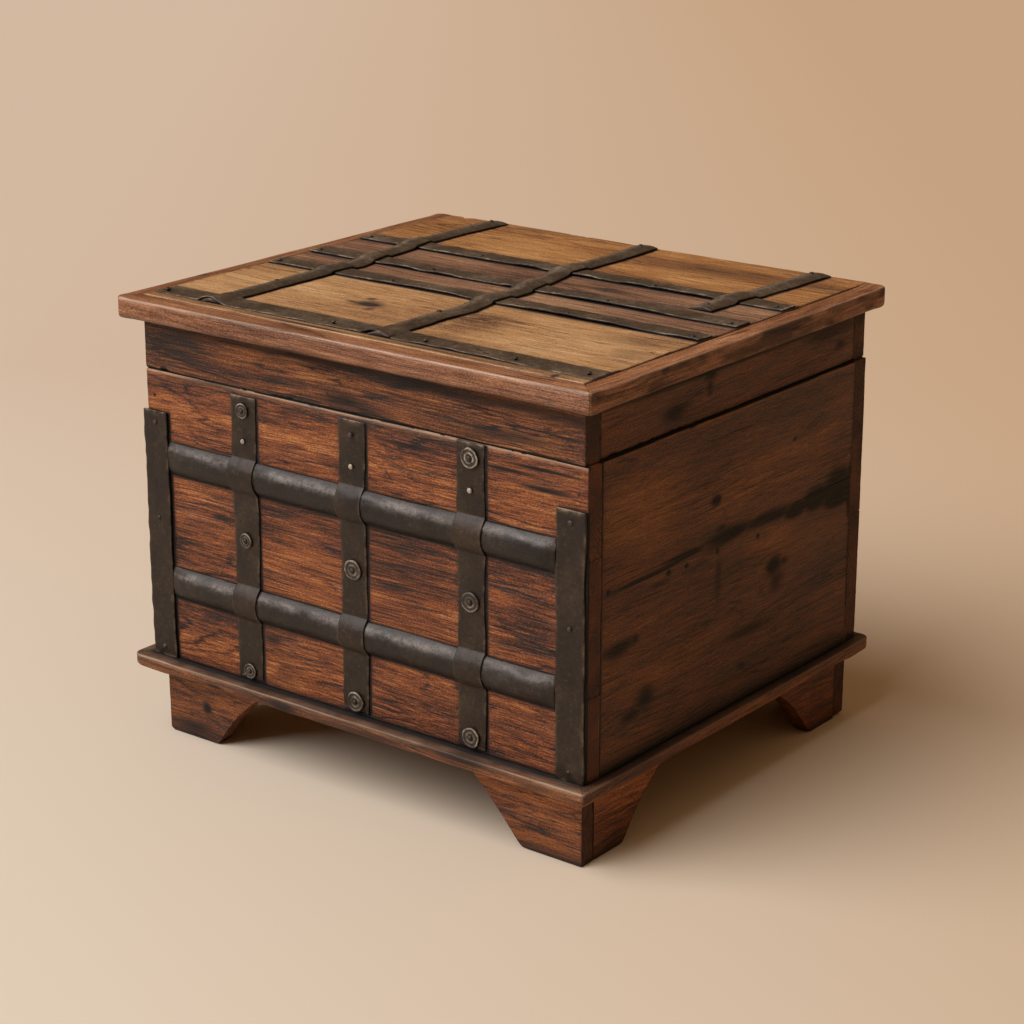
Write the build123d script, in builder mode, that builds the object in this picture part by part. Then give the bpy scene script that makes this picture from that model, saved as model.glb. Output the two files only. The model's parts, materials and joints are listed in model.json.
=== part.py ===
from build123d import *
import os

os.makedirs("parts", exist_ok=True)

# Small iron-bound damchiya chest. Millimetres, +Z up, front towards -Y.
# Everything is drawn about the middle of the carcase. The lid and base frame reach further to
# the left and the front, so each finished piece is moved to put the origin on the floor under
# the middle of the whole chest.

# ---------------------------------------------------------------- carcase
body_width = 460.0            # outside, side to side
body_depth = 400.0            # outside, front to back
body_height = 255.0           # from the base frame up to the lid joint
board = 17.5                  # thickness of the carcase and lid skirt boards
board_arris = 0.8             # taken off along the grain of every board
joint_arris = 2.6             # heavier rounding on both sides of the lid joint
front_seam_low = 70.0         # lower board joint in front, up from the base frame
front_seam_high = 74.0        # upper board joint in front, down from the lid joint
back_seam = 118.0
side_seam = 153.0
bottom_thickness = 10.0
bottom_plank_count = 2
bottom_clearance = 0.5        # round the loose bottom planks and between them

# ---------------------------------------------------------------- base frame and feet
foot_height = 61.0
foot_board = 16.0             # thickness of the foot brackets
foot_front_inset = 3.5        # foot faces behind the carcase faces
foot_side_inset = 6.0
foot_front_length = 115.0     # under the base frame, on the front and back
foot_side_length = 118.0
foot_front_toe = 60.0         # on the floor
foot_side_toe = 56.0
foot_lip = 4.0                # square lip under the base frame before the cove starts
foot_cove_sag = 5.0           # hollow of the cove below its straight chord
foot_corner_round = 3.0       # outer floor corner
foot_toe_round = 4.0          # inner floor corner
glue_block_leg = 26.0
glue_block_lift = 10.0        # glue block stands this far off the floor
base_thickness = 12.0
base_left = 16.5              # base frame beyond each carcase face
base_right = 9.5
base_front = 16.0
base_back = 12.5
base_ledge = 14.0             # base frame inside the carcase, carries the bottom
base_nose_top = 2.5
base_nose_bottom = 4.0
base_corner_round = 6.0

# ---------------------------------------------------------------- lid
skirt_height = 44.0
skirt_setback = 3.0           # the skirt has shrunk back from the carcase's right face
lid_thickness = 18.0
lid_left = 19.5               # lid beyond each carcase face
lid_right = 11.5
lid_front = 14.5
lid_back = 12.0
lid_rail_width = 20.0
lid_left_rail_width = 15.0
lid_nose_top = 3.6
lid_nose_bottom = 4.0
lid_corner_round = 8.5
front_plank_width = 160.5     # lid planks between the front rail and the back edge;
second_plank_width = 54.0     # the last one takes what is left
third_plank_width = 68.0

# ---------------------------------------------------------------- front ironwork
strap_width = 27.0
strap_thickness = 2.5
strap_fillet = 6.0            # bend where a strap leaves the board to climb a band
band_width = 28.0
band_rise = 7.0
left_corner_inset = 10.5      # middle of a corner strap from the carcase edge
right_corner_inset = 14.8
corner_strap_drop = 35.0      # strap tops below the lid joint
middle_strap_x = (-118.6, -1.2, 119.3)
middle_strap_drop = (5.5, 4.5, 0.6)
middle_strap_foot = 3.0       # gap between a middle strap's end and the base frame
band_end_gap = 0.3

# ---------------------------------------------------------------- lid ironwork
lid_strap_thickness = 2.0
front_strap_inset = 24.0      # middle of the front strap behind the front rail
front_strap_width = 25.0
cross_strap_width = 21.0      # the other straps lie along the plank joints
left_strap_end = 17.5         # strap ends from the lid's outer edge
right_strap_end = 21.5
rib_width = 24.0
rib_rise = 3.4
rib_ramp = 7.0                # run in which a rib climbs over a strap
rib_arch_clearance = 0.6      # lets a slanting rib pass under the front strap's arch
left_rib_x = (-167.5, -174.5)  # each rib slants from its front end to its back end
middle_rib_x = (12.0, -4.5)
right_rib_x = (164.5, 175.0)
right_rib_lead = 47.0         # the short rib starts this far in front of the fourth strap
rib_back_inset = 4.5          # ribs stop short of the lid's rounded back edge

# ---------------------------------------------------------------- nails and rosettes
shank = 2.4                   # square forged shank
punch_clearance = 0.1         # each side of a shank
nail_bite = 11.0              # depth of a nail in the wood
nail_head_radius = 3.1
nail_head_height = 1.3
nail_head_sides = 6
brad_bite = 14.0              # a brad goes through one board and this far into the next
rosette_radius = 8.6
small_rosette_radius = 6.6
rosette_rim = 0.6
rosette_ridge = 1.9
rosette_seat = 1.0
rosette_seat_radius = 3.6
rosette_sides = 12            # facets left by the hammer
strap_top_nail = 12.0         # nail places on a front strap, from its ends
strap_second_nail = 38.0
strap_foot_nail = 8.0
corner_nail = 10.0
end_nail_inset = 10.0         # lid strap nails, from the edge of the planks

# ---------------------------------------------------------------- strap hinges on the back
hinge_x = 130.0
hinge_width = 33.0
hinge_thickness = 2.5
hinge_tip_width = 18.0
hinge_shoulder = 12.0
body_leaf_length = 108.0
lid_leaf_length = 38.0
barrel_radius = 5.0
barrel_gap = 0.2              # barrel clear of the back boards
knuckle_gap = 0.4
pin_radius = 2.0
pin_clearance = 0.05
pin_head_radius = 3.2
pin_head_height = 1.5

# ---------------------------------------------------------------- levels and half sizes
half_width = body_width / 2
half_depth = body_depth / 2
inner_x = half_width - board
inner_y = half_depth - board
base_top = foot_height + base_thickness
joint_z = base_top + body_height
skirt_top = joint_z + skirt_height
lid_top = skirt_top + lid_thickness
foot_x = half_width - foot_side_inset
foot_y = half_depth - foot_front_inset
base_x = (-half_width - base_left, half_width + base_right)
base_y = (-half_depth - base_front, half_depth + base_back)
skirt_x = (-half_width, half_width - skirt_setback)
lid_x = (-half_width - lid_left, half_width + lid_right)
lid_y = (-half_depth - lid_front, half_depth + lid_back)
panel_x = (lid_x[0] + lid_left_rail_width, lid_x[1] - lid_rail_width)
panel_front = lid_y[0] + lid_rail_width
hole = shank + 2 * punch_clearance

band_radius = (band_width**2 / 4 + band_rise**2) / (2 * band_rise)
rib_radius = (rib_width**2 / 4 + rib_rise**2) / (2 * rib_rise)
low_band_z = base_top + front_seam_low
high_band_z = joint_z - front_seam_high
left_corner_x = -half_width + left_corner_inset
right_corner_x = half_width - right_corner_inset
corner_strap_top = joint_z - corner_strap_drop
front_strap_y = panel_front + front_strap_inset
second_strap_y = panel_front + front_plank_width
third_strap_y = second_strap_y + second_plank_width
fourth_strap_y = third_strap_y + third_plank_width
rib_front = front_strap_y - front_strap_width / 2
rib_back = lid_y[1] - rib_back_inset

# Working faces: local X along the face, local Y up (or to the back), local Z outwards.
front_face = Plane(origin=(0, -half_depth, 0), x_dir=(1, 0, 0), z_dir=(0, -1, 0))
back_face = Plane(origin=(0, half_depth, 0), x_dir=(-1, 0, 0), z_dir=(0, 1, 0))
lid_face = Plane.XY.offset(lid_top)


overall_x = (min(base_x[0], lid_x[0]), max(base_x[1], lid_x[1]))
overall_y = (min(base_y[0], lid_y[0]), max(base_y[1], lid_y[1]))
to_origin = Location((-sum(overall_x) / 2, -sum(overall_y) / 2, 0))


def save(piece, label):
    """Move a finished sub-part to the chest's origin, label it and write it."""
    part = piece.part.moved(to_origin)
    part.label = label
    export_step(part, f"parts/{label}.step")


# ---------------------------------------------------------------- nails
def punch(face, points, depth, top=0.0):
    """Square nail holes from a level above a face down to a depth below it."""
    if points:
        with BuildSketch(face.offset(top)) as holes:
            with Locations(*points):
                Rectangle(hole, hole)
        extrude(holes.sketch, amount=-(top + depth), mode=Mode.SUBTRACT)


def drive(face, points, seat, bite=nail_bite):
    """Forged nails: faceted heads sitting at a level above a face, square shanks below."""
    with BuildSketch(face.offset(seat)) as shanks:
        with Locations(*points):
            Rectangle(shank, shank)
    extrude(shanks.sketch, amount=-(seat + bite))
    with BuildSketch(face.offset(seat)) as heads:
        with Locations(*points):
            RegularPolygon(nail_head_radius, nail_head_sides)
    extrude(heads.sketch, amount=nail_head_height, taper=40)


def within(points, low, high):
    """The nail points whose holes reach between two levels."""
    return [p for p in points if low - hole < p[1] < high + hole]


middle_straps = tuple((x, joint_z - drop) for x, drop in zip(middle_strap_x, middle_strap_drop))
between_bands = (low_band_z + high_band_z) / 2
strap_foot = base_top + middle_strap_foot
(left_x, left_top), (middle_x, middle_top), (right_x, right_top) = middle_straps
small_rosette_points = [(left_x, left_top - strap_top_nail), (left_x, between_bands),
                        (left_x, strap_foot + small_rosette_radius)]
large_rosette_points = [(middle_x, between_bands), (middle_x, strap_foot + rosette_radius),
                        (right_x, right_top - strap_top_nail), (right_x, between_bands),
                        (right_x, strap_foot + rosette_radius)]
rosette_points = small_rosette_points + large_rosette_points
strap_nail_points = [(x, top - strap_second_nail) for x, top in middle_straps]
strap_nail_points.append((middle_x, middle_top - strap_top_nail))
for x in (left_corner_x, right_corner_x):
    strap_nail_points.append((x, corner_strap_top - corner_nail))
    strap_nail_points.append((x, between_bands))
    strap_nail_points.append((x, base_top + strap_foot_nail))
front_nail_points = rosette_points + strap_nail_points

body_leaf_nails = [(s * hinge_x, joint_z - body_leaf_length * f) for s in (-1, 1) for f in (0.25, 0.55, 0.85)]
lid_leaf_nails = [(s * hinge_x, joint_z + lid_leaf_length * f) for s in (-1, 1) for f in (0.45, 0.8)]


def brad_points(low, high, ends=(-half_width, half_width)):
    """Two brads at each end of a board, over the middle of the board behind it."""
    return [(x, low + (high - low) * f) for x in (ends[0] + board / 2, ends[1] - board / 2) for f in (0.2, 0.7)]


front_levels = (base_top, low_band_z, high_band_z, joint_z)
back_levels = (base_top, base_top + back_seam, joint_z)
side_levels = (base_top, base_top + side_seam, joint_z)
front_brads = [p for a, b in zip(front_levels, front_levels[1:]) for p in brad_points(a, b)]
back_brads = [p for a, b in zip(back_levels, back_levels[1:]) for p in brad_points(a, b)]
skirt_brads = brad_points(joint_z, skirt_top, skirt_x)
skirt_brads_back = [(-x, z) for x, z in skirt_brads]


# ---------------------------------------------------------------- boards
def plain_board(x, y, z):
    """A box between pairs of coordinates."""
    with Locations((x[0], y[0], z[0])):
        Box(x[1] - x[0], y[1] - y[0], z[1] - z[0], align=(Align.MIN, Align.MIN, Align.MIN))


def ease(piece, grain, joint_level=None):
    """Take off the long arrises, and round those that lie on the lid joint."""
    long_edges = piece.edges().filter_by(grain)
    if joint_level is None:
        chamfer(long_edges, board_arris)
        return
    joint_edges = long_edges.filter_by_position(Axis.Z, joint_level - 0.01, joint_level + 0.01)
    fillet(joint_edges, joint_arris)
    chamfer(long_edges - joint_edges, board_arris)


def long_board(label, face, low, high, nails, brads, joint_level=None, ends=(-half_width, half_width)):
    """A full-width board behind a front or back face, its ends covering the side boards."""
    y = sorted((face.origin.Y, face.origin.Y - face.z_dir.Y * board))
    with BuildPart() as piece:
        plain_board(ends, y, (low, high))
        ease(piece, Axis.X, joint_level)
        punch(face, within(nails, low, high), nail_bite)
        punch(face, within(brads, low, high), board)
    save(piece, label)


def end_board(label, side, low, high, brads_front, brads_back, joint_level=None, face_x=half_width):
    """A side board held between the front and back boards."""
    x = sorted((side * face_x, side * (face_x - board)))
    with BuildPart() as piece:
        plain_board(x, (-inner_y, inner_y), (low, high))
        ease(piece, Axis.Y, joint_level)
        for face, brads in ((front_face, brads_front), (back_face, brads_back)):
            own = [p for p in within(brads, low, high) if p[0] * side * face.x_dir.X > 0]
            punch(face, own, board + brad_bite)
    save(piece, label)


for name, low, high in zip(("lower", "middle", "upper"), front_levels, front_levels[1:]):
    top = joint_z if high == joint_z else None
    long_board(f"front_plank_{name}", front_face, low, high, front_nail_points, front_brads, top)
for name, low, high in zip(("lower", "upper"), back_levels, back_levels[1:]):
    top = joint_z if high == joint_z else None
    long_board(f"back_plank_{name}", back_face, low, high, body_leaf_nails, back_brads, top)
for side_name, side in (("left", -1), ("right", 1)):
    for name, low, high in zip(("lower", "upper"), side_levels, side_levels[1:]):
        top = joint_z if high == joint_z else None
        end_board(f"{side_name}_side_{name}", side, low, high, front_brads, back_brads, top)

with BuildPart() as carcase_brads:
    for face, brads in ((front_face, front_brads), (back_face, back_brads)):
        with BuildSketch(face):
            with Locations(*brads):
                Rectangle(shank, shank)
        extrude(amount=-(board + brad_bite))
save(carcase_brads, "carcase_brads")

# Bottom planks lie loose on the base frame's ledge.
bottom_x = inner_x - bottom_clearance
bottom_pitch = 2 * inner_y / bottom_plank_count
for i in range(bottom_plank_count):
    plank_low = -inner_y + i * bottom_pitch + bottom_clearance
    plank_high = -inner_y + (i + 1) * bottom_pitch - bottom_clearance
    with BuildPart() as bottom_plank:
        plain_board((-bottom_x, bottom_x), (plank_low, plank_high), (base_top, base_top + bottom_thickness))
        ease(bottom_plank, Axis.X)
    save(bottom_plank, f"bottom_plank_{i + 1}")

# ---------------------------------------------------------------- lid skirt
long_board("lid_skirt_front", front_face, joint_z, skirt_top, [], skirt_brads, joint_z, skirt_x)
long_board("lid_skirt_back", back_face, joint_z, skirt_top, lid_leaf_nails, skirt_brads_back, joint_z,
           skirt_x)
end_board("lid_skirt_left", -1, joint_z, skirt_top, skirt_brads, skirt_brads_back, joint_z, -skirt_x[0])
end_board("lid_skirt_right", 1, joint_z, skirt_top, skirt_brads, skirt_brads_back, joint_z, skirt_x[1])

with BuildPart() as skirt_brad_group:
    for face, brads in ((front_face, skirt_brads), (back_face, skirt_brads_back)):
        with BuildSketch(face):
            with Locations(*brads):
                Rectangle(shank, shank)
        extrude(amount=-(board + brad_bite))
save(skirt_brad_group, "lid_skirt_brads")


# ---------------------------------------------------------------- base frame and lid rim
def slab(x, y, z, thickness, corner, nose_top, nose_bottom):
    """A plate between pairs of coordinates with rounded corners and a rounded outer edge."""
    with BuildPart() as plate:
        with BuildSketch(Plane.XY.offset(z)):
            with Locations(((x[0] + x[1]) / 2, (y[0] + y[1]) / 2)):
                RectangleRounded(x[1] - x[0], y[1] - y[0], corner)
        extrude(amount=thickness)
        fillet(plate.faces().sort_by(Axis.Z)[-1].edges(), nose_top)
        fillet(plate.faces().sort_by(Axis.Z)[0].edges(), nose_bottom)
    return plate.part


def sawn(plate, z, thickness, outline):
    """The part of a plate inside an outline."""
    add(plate)
    with BuildSketch(Plane.XY.offset(z)) as saw:
        Polygon(*outline, align=None)
    extrude(saw.sketch, amount=thickness, mode=Mode.INTERSECT)


def rails(x, y, inner_x, inner_y):
    """Outlines of four rails between an outer and an inner rectangle, mitred at the corners."""
    outer = [(x[0], y[0]), (x[1], y[0]), (x[1], y[1]), (x[0], y[1])]
    inner = [(inner_x[0], inner_y[0]), (inner_x[1], inner_y[0]), (inner_x[1], inner_y[1]), (inner_x[0], inner_y[1])]
    return {side: [outer[i], outer[(i + 1) % 4], inner[(i + 1) % 4], inner[i]]
            for i, side in enumerate(("front", "right", "back", "left"))}


base_plate = slab(base_x, base_y, foot_height, base_thickness, base_corner_round, base_nose_top, base_nose_bottom)
ledge_x, ledge_y = inner_x - base_ledge, inner_y - base_ledge
for side, outline in rails(base_x, base_y, (-ledge_x, ledge_x), (-ledge_y, ledge_y)).items():
    with BuildPart() as base_rail:
        sawn(base_plate, foot_height, base_thickness, outline)
    save(base_rail, f"base_rail_{side}")

# The lid is open at the back: its side rails and last plank run through to the back edge.
lid_plate = slab(lid_x, lid_y, skirt_top, lid_thickness, lid_corner_round, lid_nose_top, lid_nose_bottom)
lid_outlines = rails(lid_x, lid_y, panel_x, (panel_front, lid_y[1]))
for side in ("front", "right", "left"):
    with BuildPart() as lid_rail:
        sawn(lid_plate, skirt_top, lid_thickness, lid_outlines[side])
    save(lid_rail, f"lid_rail_{side}")


# ---------------------------------------------------------------- bracket feet
def bracket(plane, start, length, toe_length, thickness):
    """A bracket foot board: square lip, hollow cove down to the toe, rounded corners.

    Local X runs inwards from the foot's outer corner, local Y up.
    """
    cove_top = (length, foot_height - foot_lip)
    toe = (toe_length, 0)
    run = cove_top[0] - toe[0]
    rise = cove_top[1]
    chord = (run**2 + rise**2) ** 0.5
    hollow = (toe[0] + run / 2 - foot_cove_sag * rise / chord, rise / 2 + foot_cove_sag * run / chord)
    with BuildSketch(plane) as outline:
        with BuildLine():
            Polyline(toe, (start, 0), (start, foot_height), (length, foot_height), cove_top)
            ThreePointArc(cove_top, hollow, toe)
        make_face()
        floor_corners = outline.vertices().group_by(Axis.Y)[0].sort_by(Axis.X)
        fillet(floor_corners[-1], foot_toe_round)
        if start == 0:
            fillet(floor_corners[0], foot_corner_round)
    extrude(outline.sketch, amount=thickness)


for depth_name, sy in (("front", -1), ("back", 1)):
    for side_name, sx in (("left", -1), ("right", 1)):
        corner = (sx * foot_x, sy * foot_y, 0)
        face_plane = Plane(origin=corner, x_dir=(-sx, 0, 0), z_dir=(0, sx, 0))
        with BuildPart() as foot_face:
            bracket(face_plane, 0, foot_front_length, foot_front_toe, -sx * sy * foot_board)
        save(foot_face, f"foot_{depth_name}_{side_name}_face")
        side_plane = Plane(origin=corner, x_dir=(0, -sy, 0), z_dir=(-sy, 0, 0))
        with BuildPart() as foot_side:
            bracket(side_plane, foot_board, foot_side_length, foot_side_toe, sx * sy * foot_board)
        save(foot_side, f"foot_{depth_name}_{side_name}_side")

with BuildPart() as glue_blocks:
    for sx in (-1, 1):
        for sy in (-1, 1):
            nook_x = sx * (foot_x - foot_board)
            nook_y = sy * (foot_y - foot_board)
            with BuildSketch(Plane.XY.offset(glue_block_lift)):
                Polygon((nook_x, nook_y), (nook_x - sx * glue_block_leg, nook_y),
                        (nook_x, nook_y - sy * glue_block_leg), align=None)
            extrude(amount=foot_height - glue_block_lift)
save(glue_blocks, "foot_glue_blocks")


# ---------------------------------------------------------------- flat straps
def strap(plane, ends, width, thickness, crossings=(), radius=0.0, rise=0.0):
    """A flat strap that arches over each round bar it crosses.

    Local X along the strap, local Y away from the wood. Each bar is a round segment of the
    given radius and rise, and the strap lies on it with a bend at both feet of the arch.
    """
    centres = [(c, rise - radius) for c in crossings]
    middle = (ends[0] + ends[1]) / 2
    length = ends[1] - ends[0]
    with BuildSketch(plane) as section:
        if centres:
            with Locations(*centres):
                Circle(radius + thickness)
            with Locations((middle, 0)):
                Rectangle(length, 2 * radius, align=(Align.CENTER, Align.MIN), mode=Mode.INTERSECT)
        with Locations((middle, 0)):
            Rectangle(length, thickness, align=(Align.CENTER, Align.MIN))
        if centres:
            bends = section.vertices().filter_by_position(Axis.Y, thickness - 0.01, thickness + 0.01)
            fillet(bends.sort_by(Axis.X)[1:-1], strap_fillet)
            with Locations(*centres):
                Circle(radius, mode=Mode.SUBTRACT)
    extrude(section.sketch, amount=width / 2, both=True)


def upright_plane(x):
    """Strap plane for a vertical strap on the front."""
    return Plane(origin=(x, -half_depth, 0), x_dir=(0, 0, 1), z_dir=(1, 0, 0))


def lid_plane(y):
    """Strap plane for a strap lying across the lid."""
    return Plane(origin=(0, y, lid_top), x_dir=(1, 0, 0), z_dir=(0, -1, 0))


for name, (x, top) in zip(("left", "middle", "right"), middle_straps):
    with BuildPart() as front_strap:
        strap(upright_plane(x), (strap_foot, top), strap_width, strap_thickness,
              (low_band_z, high_band_z), band_radius, band_rise)
        own = [p for p in front_nail_points if p[0] == x]
        punch(front_face, own, 0, strap_thickness)
    save(front_strap, f"front_strap_{name}")

for name, x in (("left", left_corner_x), ("right", right_corner_x)):
    with BuildPart() as corner_strap:
        strap(upright_plane(x), (base_top, corner_strap_top), strap_width, strap_thickness)
        own = [p for p in strap_nail_points if p[0] == x]
        punch(front_face, own, 0, strap_thickness)
    save(corner_strap, f"corner_strap_{name}")

band_left = left_corner_x + strap_width / 2 + band_end_gap
band_right = right_corner_x - strap_width / 2 - band_end_gap
for name, z in (("lower", low_band_z), ("upper", high_band_z)):
    with BuildPart() as band:
        with BuildSketch(Plane.YZ.offset(band_left)):
            with Locations((-half_depth - band_rise + band_radius, z)):
                Circle(band_radius)
            with Locations((-half_depth, z)):
                Rectangle(band_radius, band_width, align=(Align.MAX, Align.CENTER), mode=Mode.INTERSECT)
        extrude(amount=band_right - band_left)
    save(band, f"front_band_{name}")

# ---------------------------------------------------------------- lid planks, straps and ribs
long_crossings = (second_strap_y, third_strap_y, fourth_strap_y)
ribs = {
    "left": (left_rib_x, rib_front, long_crossings),
    "middle": (middle_rib_x, rib_front, long_crossings),
    "right": (right_rib_x, fourth_strap_y - right_rib_lead, (fourth_strap_y,)),
}


def on_rib(name, y):
    """The point on a rib's middle line at a distance towards the back."""
    (front_x, back_x), front, _ = ribs[name]
    return front_x + (back_x - front_x) * (y - front) / (rib_back - front), y


mid_nail_y = (front_strap_y + second_strap_y) / 2
rib_nails = {
    "left": [on_rib("left", mid_nail_y), on_rib("left", rib_back - end_nail_inset)],
    "middle": [on_rib("middle", mid_nail_y), on_rib("middle", rib_back - end_nail_inset)],
    "right": [on_rib("right", ribs["right"][1] + end_nail_inset), on_rib("right", rib_back - end_nail_inset)],
}
rib_nail_points = [point for points in rib_nails.values() for point in points]

arches = tuple(on_rib(name, front_strap_y)[0] for name in ("left", "middle"))
cross_straps = {
    "front": (front_strap_y, front_strap_width, arches, (-40.0, 55.0, 143.0)),
    "second": (second_strap_y, cross_strap_width, (), (-95.0, 90.0)),
    "third": (third_strap_y, cross_strap_width, (), (-95.0, 90.0)),
    "fourth": (fourth_strap_y, cross_strap_width, (), (-95.0, 90.0)),
}
strap_ends = (lid_x[0] + left_strap_end, lid_x[1] - right_strap_end)
end_nail_x = (panel_x[0] + end_nail_inset, panel_x[1] - end_nail_inset)
seam_shift = 5.0              # nails stand this far to the front of a plank joint
strap_nails = {
    name: [(x, y - seam_shift) for x in (end_nail_x[0], *inner, end_nail_x[1])]
    for name, (y, width, bars, inner) in cross_straps.items()
}
lid_nail_points = [point for points in strap_nails.values() for point in points]

plank_edges = (panel_front, second_strap_y, third_strap_y, fourth_strap_y)
for name, low, high in zip(("front", "second", "third"), plank_edges, plank_edges[1:]):
    with BuildPart() as lid_plank:
        plain_board(panel_x, (low, high), (skirt_top, lid_top))
        ease(lid_plank, Axis.X)
        punch(lid_face, within(lid_nail_points + rib_nail_points, low, high), nail_bite)
    save(lid_plank, f"lid_plank_{name}")

with BuildPart() as back_plank:
    sawn(lid_plate, skirt_top, lid_thickness,
         [(panel_x[0], fourth_strap_y), (panel_x[1], fourth_strap_y), (panel_x[1], lid_y[1]), (panel_x[0], lid_y[1])])
    chamfer(back_plank.edges().filter_by(Axis.X).group_by(Axis.Y)[0], board_arris)
    punch(lid_face, within(lid_nail_points + rib_nail_points, fourth_strap_y, lid_y[1]), nail_bite)
save(back_plank, "lid_plank_back")

for name, (y, width, bars, inner) in cross_straps.items():
    with BuildPart() as lid_strap:
        strap(lid_plane(y), strap_ends, width, lid_strap_thickness, bars,
              rib_radius + rib_arch_clearance, rib_rise + rib_arch_clearance)
        punch(lid_face, strap_nails[name], 0, lid_strap_thickness)
    save(lid_strap, f"lid_strap_{name}")


def rib(name):
    """A crowned rib along the lid, lifted over the flat straps that it crosses."""
    (front_x, back_x), front, crossings = ribs[name]
    line = Vector(back_x - front_x, rib_back - front, 0)
    ahead = line.normalized()
    aside = Vector(ahead.Y, -ahead.X, 0)
    spread = abs(ahead.X) * rib_width / 2
    route = [(0, 0)]
    for y in crossings:
        near = (y - cross_strap_width / 2 - front - spread) / ahead.Y
        far = (y + cross_strap_width / 2 - front + spread) / ahead.Y
        route.append((near - rib_ramp, 0))
        route.append((near, lid_strap_thickness))
        route.append((far, lid_strap_thickness))
        route.append((far + rib_ramp, 0))
    route.append((line.length, 0))
    start = (front_x, front, lid_top)
    with BuildLine(Plane(origin=start, x_dir=ahead, z_dir=aside)) as path:
        Polyline(*route)
    with BuildSketch(Plane(origin=start, x_dir=aside, z_dir=-ahead)) as crown:
        with BuildLine():
            ThreePointArc((-rib_width / 2, 0), (0, rib_rise), (rib_width / 2, 0))
            Line((rib_width / 2, 0), (-rib_width / 2, 0))
        make_face()
    sweep(crown.sketch, path=path.line, transition=Transition.RIGHT)


for name in ribs:
    with BuildPart() as lid_rib:
        rib(name)
        punch(lid_face, rib_nails[name], 0, rib_rise)
    save(lid_rib, f"lid_rib_{name}")

# ---------------------------------------------------------------- rosettes
def rosette(radius):
    """A faceted washer with a raised ring round a sunken seat for its nail."""
    ridge_radius = (radius + rosette_seat_radius) / 2
    with BuildPart() as washer:
        with BuildSketch(Plane.XY):
            RegularPolygon(radius, rosette_sides)
        extrude(amount=rosette_rim)
        with BuildSketch(Plane.XY.offset(rosette_rim)):
            RegularPolygon(radius, rosette_sides)
        with BuildSketch(Plane.XY.offset(rosette_ridge)):
            RegularPolygon(ridge_radius, rosette_sides)
        loft()
        with BuildSketch(Plane.XY.offset(rosette_seat)):
            RegularPolygon(rosette_seat_radius, rosette_sides)
        with BuildSketch(Plane.XY.offset(rosette_ridge)):
            RegularPolygon(ridge_radius, rosette_sides)
        loft(mode=Mode.SUBTRACT)
        with BuildSketch(Plane.XY):
            Rectangle(hole, hole)
        extrude(amount=rosette_seat, mode=Mode.SUBTRACT)
    return washer.part


with BuildPart() as rosettes:
    for radius, points in ((small_rosette_radius, small_rosette_points), (rosette_radius, large_rosette_points)):
        with Locations(*[front_face.offset(strap_thickness) * Location((x, z, 0)) for x, z in points]):
            add(rosette(radius))
save(rosettes, "strap_rosettes")

# ---------------------------------------------------------------- strap hinges
hinge_axis_y = half_depth + barrel_gap + barrel_radius
knuckle = hinge_width / 3
leaf_clear = barrel_radius + knuckle_gap


def knuckles(x, spans):
    """Rolled knuckles about the hinge axis, bored for the pin."""
    for low, high in spans:
        with BuildSketch(Plane.YZ.offset(x + low)) as barrel:
            with Locations((hinge_axis_y, joint_z)):
                Circle(barrel_radius)
        extrude(barrel.sketch, amount=high - low)
    with BuildSketch(Plane.YZ.offset(x - hinge_width)) as bore:
        with Locations((hinge_axis_y, joint_z)):
            Circle(pin_radius + pin_clearance)
    extrude(bore.sketch, amount=2 * hinge_width, mode=Mode.SUBTRACT)


half_leaf = hinge_width / 2
notch = knuckle / 2 + knuckle_gap
for name, x in (("left", -hinge_x), ("right", hinge_x)):
    leaf_plane = Plane(origin=(x, half_depth, joint_z), x_dir=(-1, 0, 0), z_dir=(0, 1, 0))
    with BuildPart() as body_leaf:
        with BuildSketch(leaf_plane) as outline:
            half_tip = hinge_tip_width / 2
            Polygon((half_leaf, 0), (half_leaf, -hinge_shoulder), (half_tip, half_tip - body_leaf_length),
                    (half_tip / 2, -body_leaf_length), (-half_tip / 2, -body_leaf_length),
                    (-half_tip, half_tip - body_leaf_length), (-half_leaf, -hinge_shoulder), (-half_leaf, 0),
                    align=None)
            with Locations((0, 0)):
                Rectangle(2 * notch, 2 * leaf_clear, mode=Mode.SUBTRACT)
        extrude(amount=hinge_thickness)
        knuckles(x, ((-half_leaf, -notch), (notch, half_leaf)))
        punch(back_face, [p for p in body_leaf_nails if p[0] * -x > 0], 0, hinge_thickness)
    save(body_leaf, f"hinge_body_leaf_{name}")
    with BuildPart() as lid_leaf:
        with BuildSketch(leaf_plane) as outline:
            Polygon((half_leaf, leaf_clear), (half_leaf, lid_leaf_length), (-half_leaf, lid_leaf_length),
                    (-half_leaf, leaf_clear), align=None)
            chamfer(outline.vertices().group_by(Axis.Y)[-1], hinge_tip_width / 3)
            with Locations((0, 0)):
                Rectangle(knuckle, 2 * leaf_clear, align=(Align.CENTER, Align.MIN))
        extrude(amount=hinge_thickness)
        knuckles(x, ((-knuckle / 2, knuckle / 2),))
        punch(back_face, [p for p in lid_leaf_nails if p[0] * -x > 0], 0, hinge_thickness)
    save(lid_leaf, f"hinge_lid_leaf_{name}")

with BuildPart() as hinge_pins:
    for x in (-hinge_x, hinge_x):
        shoulder = half_leaf + knuckle_gap / 2
        for radius, low, high in (
            (pin_radius, x - shoulder, x + shoulder),
            (pin_head_radius, x - shoulder - pin_head_height, x - shoulder),
            (pin_head_radius, x + shoulder, x + shoulder + pin_head_height),
        ):
            with BuildSketch(Plane.YZ.offset(low)):
                with Locations((hinge_axis_y, joint_z)):
                    Circle(radius)
            extrude(amount=high - low)
save(hinge_pins, "hinge_pins")

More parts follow.
